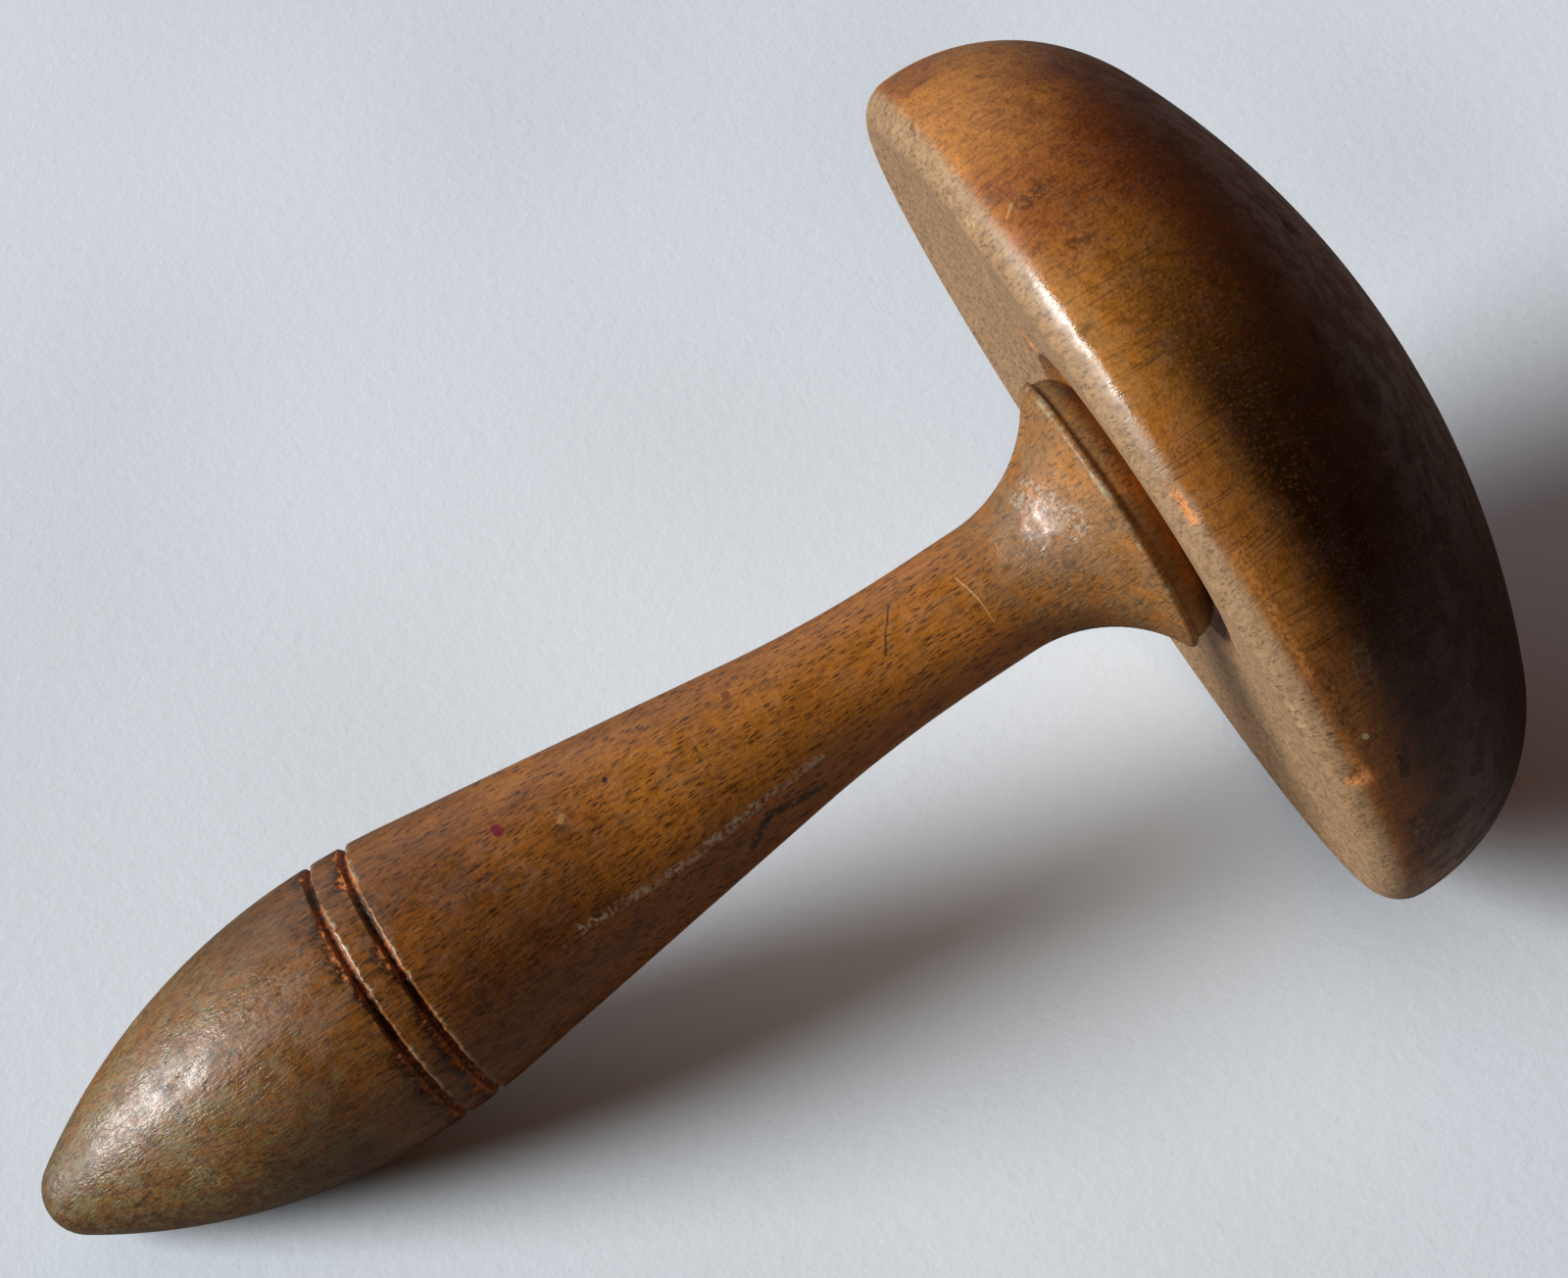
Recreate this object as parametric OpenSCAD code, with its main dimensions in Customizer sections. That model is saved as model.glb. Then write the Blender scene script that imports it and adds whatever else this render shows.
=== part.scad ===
// Darning mushroom: a domed cap that screws onto a turned handle.
// Both pieces are turned about one axis. They are drawn upright about Z, with z = 0
// at the cap's lower edge, and then laid on a table on the cap's edge and the handle's barrel.

/* [Cap] */
// Radius of the cap at its widest ring
cap_r = 37.5; // [34:0.5:40]
// Height of the cap from its lower edge to the crown
cap_h = 24.6; // [23:0.1:27]
// Radius of the dome over the crown
crown_r = 65; // [60:1:75]
// Height of the widest ring above the lower edge
widest_h = 3.6; // [3.4:0.1:4.5]
// Radius of the rounded lower edge
edge_r = 3; // [1.5:0.1:3.3]
// Slope of the hollowed underside towards the handle, in degrees
dish_deg = 4.2; // [3:0.1:5.5]
// Radius of the recess round the collar, at its mouth
recess_r = 13.4; // [13.1:0.1:15]

/* [Handle] */
// Length of the handle from its tip to the rim of the collar
grip_len = 98.8; // [90:0.1:110]
// Radius of the barrel at its fattest ring
barrel_r = 11.5; // [10:0.1:13]
// Distance from the fattest ring to the rim of the collar
barrel_at = 68.9; // [66:0.1:73]
// Radius of the rounded tip
tip_r = 3.7; // [3:0.1:5]
// Radius of the long curve from the barrel into the taper
shoulder_r = 61; // [40:1:80]
// Radius of the hollow curve from the taper into the neck
hollow_r = 110; // [80:5:130]
// Radius of the neck at its narrowest
neck_r = 5.65; // [5:0.05:6.5]
// Distance from the narrowest ring to the rim of the collar
neck_at = 15.6; // [14.5:0.1:18]
// Radius of the flare from the neck to the collar
flare_r = 11.5; // [10.5:0.1:12.5]

/* [Grooves] */
// Distance of the first groove from the rim of the collar
groove_at = 63.9; // [60:0.1:65]
// Distance between the two grooves
groove_gap = 3.1; // [2:0.1:4]
// Width of a groove at the surface
groove_w = 0.8; // [0.5:0.1:1.4]
// Depth of a groove
groove_depth = 0.5; // [0.3:0.1:0.9]

/* [Collar] */
// Radius of the collar over its rim
collar_r = 12.2; // [12:0.1:12.8]
// Radius of the bead on the rim of the collar
bead_r = 0.45; // [0.3:0.05:0.6]
// Radius of the rounded back of the collar
back_r = 2.6; // [2.2:0.1:3]
// How far the rim of the collar stands below the cap's lower edge
collar_drop = 0.8; // [0.3:0.1:1]
// Gap between the back of the collar and the floor of the recess
seat_gap = 0.3; // [0.1:0.05:0.6]

/* [Screw] */
// Radius of the spigot over the crests of its thread
spigot_r = 5.92; // [5.2:0.01:6.5]
// Length of the spigot from the back of the collar
spigot_len = 13; // [10:0.5:14]
// Clearance between the spigot and the wall of the socket
socket_clear = 0.08; // [0.05:0.01:0.1]
// Depth of the socket beyond the end of the spigot
socket_spare = 1.2; // [0.5:0.1:1.5]
// Width of the plain groove where the thread runs out at the collar
relief_w = 1.6; // [1:0.1:2]
// Depth of that groove
relief_depth = 0.8; // [0.4:0.1:1]
// Chamfer at the spigot's end and at the socket's mouth
lead_in = 0.8; // [0.4:0.1:1.2]

/* [Hidden] */
cap_colour = "#7f4f27";
handle_colour = "#a8713a";
turn_fn = 128;
eps = 0.01;
// Half angle of a drill's point, which ends the socket
drill_half_deg = 59;
// Steps in a long curve and in a small rounding of an outline
long_steps = 16;
short_steps = 8;

// Cap: the dome, shoulder and edge are arcs that run into each other. Points are [radius, z].
crown_c = [0, cap_h - crown_r];
cap_shoulder_r = (pow(widest_h - crown_c.y, 2) + pow(cap_r, 2) - pow(crown_r, 2)) / (2 * (cap_r - crown_r));
cap_shoulder_c = [cap_r - cap_shoulder_r, widest_h];
crown_end_deg = atan2(cap_shoulder_c.y - crown_c.y, cap_shoulder_c.x);
edge_reach = sqrt(pow(cap_shoulder_r - edge_r, 2) - pow(widest_h - edge_r, 2));
edge_c = [cap_shoulder_c.x + edge_reach, edge_r];
edge_start_deg = atan2(edge_c.y - cap_shoulder_c.y, edge_reach);
underside_end = edge_c + edge_r * [cos(-90 - dish_deg), sin(-90 - dish_deg)];
recess_mouth_z = underside_end.y + (underside_end.x - recess_r) * tan(dish_deg);

// Collar: bead, rounded back and the flat that faces the floor of the recess
bead_c = [collar_r - bead_r, -collar_drop];
back_c = [bead_c.x - back_r, bead_c.y + bead_r];
seat_z = back_c.y + back_r;
recess_floor_z = seat_z + seat_gap;
recess_floor_r = recess_r - (recess_floor_z - recess_mouth_z);

// Socket
socket_r = spigot_r + socket_clear;
spigot_end_z = seat_z + spigot_len;
socket_end_z = spigot_end_z + socket_spare;
socket_point_z = socket_end_z + socket_r / tan(drill_half_deg);

// Handle: the barrel, taper, neck and flare run into each other
rim_z = -collar_drop;
barrel_z = rim_z - barrel_at;
tip_c = [0, rim_z - grip_len + tip_r];
barrel_reach = barrel_z - tip_c.y;
barrel_curve_r = (pow(barrel_reach, 2) + pow(barrel_r, 2) - pow(tip_r, 2)) / (2 * (barrel_r - tip_r));
barrel_c = [barrel_r - barrel_curve_r, barrel_z];
tip_end_deg = atan2(tip_c.y - barrel_c.y, -barrel_c.x);
shoulder_c = [barrel_r - shoulder_r, barrel_z];
neck_z = rim_z - neck_at;
hollow_c = [neck_r + hollow_r, neck_z];
taper_span = hollow_c - shoulder_c;
taper_deg = atan2(taper_span.y, taper_span.x) - acos((shoulder_r + hollow_r) / norm(taper_span));
flare_reach = neck_r + flare_r - bead_c.x;
flare_c = [neck_r + flare_r, bead_c.y - sqrt(pow(flare_r + bead_r, 2) - pow(flare_reach, 2))];
flare_end_deg = atan2(flare_c.y - bead_c.y, flare_reach);

// Lying pose: one line touches the barrel and the cap's edge, and it is level
rest_span = edge_c - barrel_c;
lie_deg = acos((barrel_curve_r - edge_r) / norm(rest_span)) - atan2(rest_span.y, rest_span.x);
lowest = edge_c.y * sin(lie_deg) - edge_c.x * cos(lie_deg) - edge_r;
tip_x = tip_c.y * cos(lie_deg) - tip_r;
crown_x = crown_c.y * cos(lie_deg) + crown_r;

// Points of an arc about centre c, from angle a0 to a1
function arc(c, radius, a0, a1, steps) =
    [for (i = [0:steps]) let (a = a0 + (a1 - a0) * i / steps) c + radius * [cos(a), sin(a)]];

// Turns an outline of [radius, z] points about Z
module turned(outline) {
    rotate_extrude($fn = turn_fn) polygon(outline);
}

// Lays what is drawn upright down on the table, with the cap towards +X
module lying() {
    translate([-(tip_x + crown_x) / 2, 0, -lowest])
        rotate([0, 90 - lie_deg, 0])
            children();
}

function cap_outline() = concat(
    [[0, recess_floor_z]],
    [[recess_floor_r, recess_floor_z]],
    [[recess_r, recess_mouth_z]],
    arc(edge_c, edge_r, -90 - dish_deg, edge_start_deg, short_steps),
    arc(cap_shoulder_c, cap_shoulder_r, edge_start_deg, crown_end_deg, long_steps),
    [for (p = arc(crown_c, crown_r, crown_end_deg, 90, long_steps)) [max(p.x, 0), p.y]]
);

// Drilled and tapped hole for the spigot, with a chamfered mouth
module socket() {
    turned([
        [0, recess_floor_z - eps],
        [socket_r + lead_in + eps, recess_floor_z - eps],
        [socket_r, recess_floor_z + lead_in],
        [socket_r, socket_end_z],
        [0, socket_point_z]
    ]);
}

module cap() {
    color(cap_colour) lying() difference() {
        turned(cap_outline());
        socket();
    }
}

function grip_outline() = concat(
    [for (p = arc(tip_c, tip_r, -90, tip_end_deg, short_steps)) [max(p.x, 0), p.y]],
    arc(barrel_c, barrel_curve_r, tip_end_deg, 0, long_steps),
    arc(shoulder_c, shoulder_r, 0, taper_deg, short_steps),
    arc(hollow_c, hollow_r, 180 + taper_deg, 180, short_steps),
    arc(flare_c, flare_r, 180, 180 + flare_end_deg, long_steps),
    arc(bead_c, bead_r, flare_end_deg, 90, short_steps),
    arc(back_c, back_r, 0, 90, short_steps),
    [[0, seat_z]]
);

// One V-shaped ring cut into the barrel, at a distance from the rim of the collar
module groove(at) {
    surface_r = shoulder_c.x + sqrt(pow(shoulder_r, 2) - pow(barrel_at - at, 2));
    translate([0, 0, rim_z - at])
        turned([
            [surface_r - groove_depth, 0],
            [surface_r + groove_depth, -groove_w],
            [surface_r + groove_depth, groove_w]
        ]);
}

// Plug that carries the screw, with the run-out groove at its root
module spigot() {
    turned([
        [0, seat_z - eps],
        [spigot_r - relief_depth, seat_z - eps],
        [spigot_r - relief_depth, seat_z + relief_w - relief_depth],
        [spigot_r, seat_z + relief_w],
        [spigot_r, spigot_end_z - lead_in],
        [spigot_r - lead_in, spigot_end_z],
        [0, spigot_end_z]
    ]);
}

module handle() {
    color(handle_colour) lying() difference() {
        union() {
            turned(grip_outline());
            spigot();
        }
        for (i = [0:1]) groove(groove_at + i * groove_gap);
    }
}

cap();
handle();
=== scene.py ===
"""A darning mushroom in turned beech: a domed cap that screws onto a grip handle.

Each of the two pieces is one turning, so each is an outline that the lathe tree carries
round its axis.  The sizes are in millimetres, with the piece upright about the turning
axis and z = 0 at the cap's lower edge.  Rest lays the finished pieces down where the
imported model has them, on the cap's edge and the grip's barrel.
"""
from __future__ import annotations

import logging
import math
from dataclasses import dataclass, field
from enum import Enum
from typing import Any

import bpy
import numpy as np
from mathutils import Euler, Matrix, Vector, noise
from mathutils.bvhtree import BVHTree

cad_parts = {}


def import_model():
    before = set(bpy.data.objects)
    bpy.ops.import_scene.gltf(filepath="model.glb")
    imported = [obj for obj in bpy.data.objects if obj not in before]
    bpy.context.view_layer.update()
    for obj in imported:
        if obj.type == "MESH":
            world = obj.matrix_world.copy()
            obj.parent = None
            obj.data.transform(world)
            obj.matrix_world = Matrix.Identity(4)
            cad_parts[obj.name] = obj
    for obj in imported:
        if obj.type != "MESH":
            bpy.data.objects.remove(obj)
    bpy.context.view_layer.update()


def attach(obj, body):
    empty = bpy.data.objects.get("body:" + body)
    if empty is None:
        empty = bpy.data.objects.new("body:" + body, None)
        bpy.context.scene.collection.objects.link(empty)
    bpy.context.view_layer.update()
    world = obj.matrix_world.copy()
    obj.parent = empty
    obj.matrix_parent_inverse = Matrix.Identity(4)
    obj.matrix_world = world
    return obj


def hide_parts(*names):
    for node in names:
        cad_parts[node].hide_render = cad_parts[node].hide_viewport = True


LOG = logging.getLogger("darning_mushroom")
MM = 0.001
Point = tuple[float, float]
Cell = tuple[float, float, float]
Socket = bpy.types.NodeSocket

# Settings that many nodes share
ADD = {"operation": "ADD"}
SUBTRACT = {"operation": "SUBTRACT"}
MULTIPLY = {"operation": "MULTIPLY"}
MULTIPLY_ADD = {"operation": "MULTIPLY_ADD"}
DIVIDE = {"operation": "DIVIDE"}
MAXIMUM = {"operation": "MAXIMUM"}
DOT = {"operation": "DOT_PRODUCT"}
SOFT = {"interpolation_type": "SMOOTHSTEP"}
COLOURS = {"data_type": "RGBA"}


# Helpers for numbers, colours and nodes

def linear(hex_colour: str) -> tuple[float, float, float, float]:
    """Turn an sRGB hex colour into the linear colour that Blender works in.

    Args:
        hex_colour: Six hex digits with a leading hash sign.

    Returns:
        Red, green, blue and an alpha of 1.
    """
    channels = [int(hex_colour[start:start + 2], 16) / 255 for start in (1, 3, 5)]
    bent = [c / 12.92 if c <= 0.04045 else ((c + 0.055) / 1.055) ** 2.4 for c in channels]
    return (bent[0], bent[1], bent[2], 1.0)


def add_node(
    tree: bpy.types.NodeTree,
    kind: str,
    settings: dict[str, Any] | None = None,
    inputs: dict[str | int, Any] | list[Any] | None = None,
    output: str | int = 0,
) -> Socket | None:
    """Add a node to a tree, set its properties, and fill or link its inputs.

    Args:
        tree: The tree that gets the node.
        kind: The node's type name.
        settings: Properties of the node by name.
        inputs: Values, or sockets to link from, in the order of the inputs or by their
            names or numbers.
        output: The output that is given back, by name or number.

    Returns:
        The output's socket, or None for a node that has no outputs.
    """
    node = tree.nodes.new(kind)
    for name, value in (settings or {}).items():
        setattr(node, name, value)
    filled = dict(enumerate(inputs)) if isinstance(inputs, list) else inputs or {}
    for key, value in filled.items():
        if isinstance(value, Socket):
            tree.links.new(value, node.inputs[key])
        else:
            node.inputs[key].default_value = value
    return node.outputs[output] if node.outputs else None


def smooth_step(low: float, high: float, value: np.ndarray) -> np.ndarray:
    """Ramp softly from 0 at low to 1 at high."""
    t = np.clip((value - low) / (high - low), 0.0, 1.0)
    return t * t * (3 - 2 * t)


def grain_noise(points: np.ndarray, seed: float, octaves: int = 1) -> np.ndarray:
    """Sample smooth noise at many points.

    Args:
        points: One row of three numbers for each point, in noise cells.
        seed: A shift that makes each use of the noise its own.
        octaves: How many finer layers are added.

    Returns:
        One number for each point, about -1 to 1.
    """
    shift = Vector((seed, seed * 1.7, -seed))
    if octaves == 1:
        values = [noise.noise(Vector(p) + shift) for p in points.tolist()]
    else:
        values = [noise.fractal(Vector(p) + shift, 0.6, 2.1, octaves) for p in points.tolist()]
    return np.array(values)


# The outline of a turning

@dataclass
class Outline:
    """An outline of radius and height points, from the axis out and back to the axis."""

    points: list[Point] = field(default_factory=list)
    cut: list[float] = field(default_factory=list)

    def to(self, radius: float, height: float, step: float = 99.0, cut: float = 0.0) -> None:
        """Draw a straight stretch to a point.

        Args:
            radius: The point's distance from the axis.
            height: The point's height.
            step: The longest distance between two points on the way.
            cut: 1 where the stretch carries the screw thread.
        """
        if self.points:
            start = self.points[-1]
            length = math.dist(start, (radius, height))
            count = max(1, math.ceil(length / step))
            for number in range(1, count):
                share = number / count
                self.points.append((
                    start[0] + (radius - start[0]) * share,
                    start[1] + (height - start[1]) * share,
                ))
                self.cut.append(cut)
        self.points.append((radius, height))
        self.cut.append(0.0)

    def arc(self, centre: Point, radius: float, start: float, end: float, step: float) -> None:
        """Draw an arc, joined to what comes before it.

        Args:
            centre: The arc's centre as radius and height.
            radius: The arc's radius.
            start: The angle it starts at, in degrees.
            end: The angle it ends at, in degrees.
            step: The longest distance between two points on it.
        """
        count = max(2, math.ceil(math.radians(abs(end - start)) * radius / step))
        for number in range(count + 1):
            angle = math.radians(start + (end - start) * number / count)
            point = (centre[0] + radius * math.cos(angle), centre[1] + radius * math.sin(angle))
            if not self.points or math.dist(self.points[-1], point) > 1e-4:
                self.points.append(point)
                self.cut.append(0.0)

    def soften(self, radius: float, sharper_than: float = 25.0) -> None:
        """Take the sharp arrises off with a small round, as sanding does.

        Args:
            radius: The radius of the round.
            sharper_than: Corners that turn by fewer degrees than this stay.
        """
        points, cut = [self.points[0]], [self.cut[0]]
        for number in range(1, len(self.points) - 1):
            here = Vector(self.points[number])
            back = Vector(self.points[number - 1]) - here
            ahead = Vector(self.points[number + 1]) - here
            turn = math.pi - back.angle(ahead)
            if math.degrees(turn) < sharper_than:
                points.append(self.points[number])
                cut.append(self.cut[number])
                continue
            reach = min(radius * math.tan(turn / 2), back.length * 0.45, ahead.length * 0.45)
            first = here + back.normalized() * reach
            last = here + ahead.normalized() * reach
            for share in (0.0, 0.25, 0.5, 0.75, 1.0):
                bend = first.lerp(here, share).lerp(here.lerp(last, share), share)
                points.append((bend.x, bend.y))
                cut.append(0.0)
        self.points = points + [self.points[-1]]
        self.cut = cut + [self.cut[-1]]


@dataclass(frozen=True)
class Thread:
    """A coarse wooden screw thread, cut into the wall that the outline marks."""

    pitch: float = 3.0
    depth: float = 0.75
    bottom: float = 3.4
    top: float = 14.6


# Sizes of the two turnings

@dataclass
class HandleSizes:
    """The handle's sizes, as the construction has them."""

    grip_len: float = 98.8
    barrel_r: float = 11.5
    barrel_at: float = 68.9
    tip_r: float = 3.7
    shoulder_r: float = 61.0
    hollow_r: float = 110.0
    neck_r: float = 5.65
    neck_at: float = 15.6
    flare_r: float = 11.5
    groove_at: float = 63.9
    groove_gap: float = 3.1
    collar_r: float = 12.2
    bead_r: float = 0.45
    back_r: float = 2.6
    collar_drop: float = 0.8
    spigot_r: float = 5.92
    spigot_len: float = 13.0
    relief_w: float = 1.6
    relief_depth: float = 0.8
    lead_in: float = 0.8

    def __post_init__(self) -> None:
        """Work out the circles that the outline is made of."""
        self.rim_z = -self.collar_drop
        self.bead_c = (self.collar_r - self.bead_r, -self.collar_drop)
        self.back_c = (self.bead_c[0] - self.back_r, self.bead_c[1] + self.bead_r)
        self.seat_z = self.back_c[1] + self.back_r
        self.spigot_end_z = self.seat_z + self.spigot_len
        self.barrel_z = self.rim_z - self.barrel_at
        self.tip_c = (0.0, self.rim_z - self.grip_len + self.tip_r)
        reach = self.barrel_z - self.tip_c[1]
        self.barrel_curve_r = (
            (reach ** 2 + self.barrel_r ** 2 - self.tip_r ** 2) / (2 * (self.barrel_r - self.tip_r))
        )
        self.barrel_c = (self.barrel_r - self.barrel_curve_r, self.barrel_z)
        self.tip_end_deg = math.degrees(math.atan2(self.tip_c[1] - self.barrel_c[1], -self.barrel_c[0]))
        self.shoulder_c = (self.barrel_r - self.shoulder_r, self.barrel_z)
        self.neck_z = self.rim_z - self.neck_at
        self.hollow_c = (self.neck_r + self.hollow_r, self.neck_z)
        span = (self.hollow_c[0] - self.shoulder_c[0], self.hollow_c[1] - self.shoulder_c[1])
        self.taper_deg = math.degrees(
            math.atan2(span[1], span[0])
            - math.acos((self.shoulder_r + self.hollow_r) / math.hypot(*span))
        )
        flare_reach = self.neck_r + self.flare_r - self.bead_c[0]
        self.flare_c = (
            self.neck_r + self.flare_r,
            self.bead_c[1] - math.sqrt((self.flare_r + self.bead_r) ** 2 - flare_reach ** 2),
        )
        self.flare_end_deg = math.degrees(math.atan2(self.flare_c[1] - self.bead_c[1], flare_reach))

    def groove_heights(self) -> tuple[float, float]:
        """Give the heights of the two grooves, the one nearer the cap first."""
        return (self.rim_z - self.groove_at, self.rim_z - self.groove_at - self.groove_gap)


@dataclass
class CapSizes:
    """The cap's sizes, as the construction has them."""

    cap_r: float = 37.5
    cap_h: float = 24.6
    crown_r: float = 65.0
    widest_h: float = 3.6
    edge_r: float = 3.0
    dish_deg: float = 4.2
    recess_r: float = 13.4
    seat_gap: float = 0.3
    socket_clear: float = 0.08
    socket_spare: float = 1.2
    drill_half_deg: float = 59.0

    def __post_init__(self) -> None:
        """Work out the circles that the outline is made of."""
        self.crown_c = (0.0, self.cap_h - self.crown_r)
        rise = self.widest_h - self.crown_c[1]
        self.shoulder_r = (
            (rise ** 2 + self.cap_r ** 2 - self.crown_r ** 2) / (2 * (self.cap_r - self.crown_r))
        )
        self.shoulder_c = (self.cap_r - self.shoulder_r, self.widest_h)
        self.crown_end_deg = math.degrees(
            math.atan2(self.shoulder_c[1] - self.crown_c[1], self.shoulder_c[0])
        )
        edge_reach = math.sqrt(
            (self.shoulder_r - self.edge_r) ** 2 - (self.widest_h - self.edge_r) ** 2
        )
        self.edge_c = (self.shoulder_c[0] + edge_reach, self.edge_r)
        self.edge_start_deg = math.degrees(math.atan2(self.edge_c[1] - self.shoulder_c[1], edge_reach))
        low = math.radians(-90 - self.dish_deg)
        self.underside_end = (
            self.edge_c[0] + self.edge_r * math.cos(low),
            self.edge_c[1] + self.edge_r * math.sin(low),
        )
        self.recess_mouth_z = (
            self.underside_end[1]
            + (self.underside_end[0] - self.recess_r) * math.tan(math.radians(self.dish_deg))
        )


@dataclass
class Rest:
    """How the upright pieces lie: on the cap's edge and the barrel of the grip."""

    handle: HandleSizes
    cap: CapSizes

    def __post_init__(self) -> None:
        """Work out the lean of the axis and the shift that centres the object."""
        span = (
            self.cap.edge_c[0] - self.handle.barrel_c[0],
            self.cap.edge_c[1] - self.handle.barrel_c[1],
        )
        lie = (
            math.acos((self.handle.barrel_curve_r - self.cap.edge_r) / math.hypot(*span))
            - math.atan2(span[1], span[0])
        )
        lowest = self.cap.edge_c[1] * math.sin(lie) - self.cap.edge_c[0] * math.cos(lie) - self.cap.edge_r
        tip_x = self.handle.tip_c[1] * math.cos(lie) - self.handle.tip_r
        crown_x = self.cap.crown_c[1] * math.cos(lie) + self.cap.crown_r
        self.lie = lie
        self.turn = Euler((0.0, math.pi / 2 - lie, 0.0))
        self.shift = Vector((-(tip_x + crown_x) / 2, 0.0, -lowest)) * MM
        self.basis = np.array(self.turn.to_matrix())

    def to_world(self, upright: np.ndarray) -> np.ndarray:
        """Turn upright millimetres into metres in the lying frame."""
        return upright * MM @ self.basis.T + np.array(self.shift)

    def to_upright(self, world: np.ndarray) -> np.ndarray:
        """Turn metres in the lying frame into upright millimetres."""
        return (world - np.array(self.shift)) @ self.basis / MM


# The camera, as the photograph was taken

@dataclass
class PhotoView:
    """The photograph's viewpoint, given by where the turning axis stands in it."""

    width: int = 1600
    height: int = 1304
    focal_px: float = 4000.0
    sensor_mm: float = 36.0
    axis_pixel: Point = (1140.1, 519.6)
    axis_distance: float = 0.30402
    axis_turn_deg: float = -33.425
    axis_tilt_deg: float = -1.044
    spin_deg: float = -38.0

    def place(self, rest: Rest) -> None:
        """Find the camera's place and directions in the lying frame.

        Args:
            rest: How the pieces lie, which says where the axis is.
        """
        turn, tilt = math.radians(self.axis_turn_deg), math.radians(self.axis_tilt_deg)
        axis = Vector((
            math.cos(tilt) * math.cos(turn), math.cos(tilt) * math.sin(turn), math.sin(tilt),
        ))
        towards = Vector((0.0, 0.0, -1.0))
        towards = (towards - axis * towards.dot(axis)).normalized()
        sideways = axis.cross(towards)
        spin = math.radians(self.spin_deg)
        up = axis * math.sin(rest.lie) + (
            towards * math.cos(spin) + sideways * math.sin(spin)
        ) * math.cos(rest.lie)
        along = (axis - up * math.sin(rest.lie)) / math.cos(rest.lie)
        across = up.cross(along)
        to_world = Matrix((along, across, up))
        anchor = Vector((
            (self.axis_pixel[0] - self.width / 2) / self.focal_px,
            (self.axis_pixel[1] - self.height / 2) / self.focal_px,
            1.0,
        )) * self.axis_distance
        self.location = rest.shift - to_world @ anchor
        self.right = to_world @ Vector((1.0, 0.0, 0.0))
        self.down = to_world @ Vector((0.0, 1.0, 0.0))
        self.forward = to_world @ Vector((0.0, 0.0, 1.0))

    def ray(self, pixel: Point) -> Vector:
        """Give the direction in which a pixel of the photograph looks."""
        x = (pixel[0] - self.width / 2) / self.focal_px
        y = (pixel[1] - self.height / 2) / self.focal_px
        return (self.right * x + self.down * y + self.forward).normalized()

    def create(self) -> bpy.types.Object:
        """Make the camera and let the scene use it.

        Returns:
            The camera object.
        """
        data = bpy.data.cameras.new("photo_view")
        data.sensor_fit = "HORIZONTAL"
        data.sensor_width = self.sensor_mm
        data.lens = self.sensor_mm * self.focal_px / self.width
        data.clip_start = 0.01
        data.clip_end = 50.0
        camera = bpy.data.objects.new("photo_view", data)
        turned = Matrix((self.right, -self.down, -self.forward)).transposed()
        camera.matrix_world = Matrix.Translation(self.location) @ turned.to_4x4()
        bpy.context.scene.collection.objects.link(camera)
        bpy.context.scene.camera = camera
        return camera


# The lathe

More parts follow.
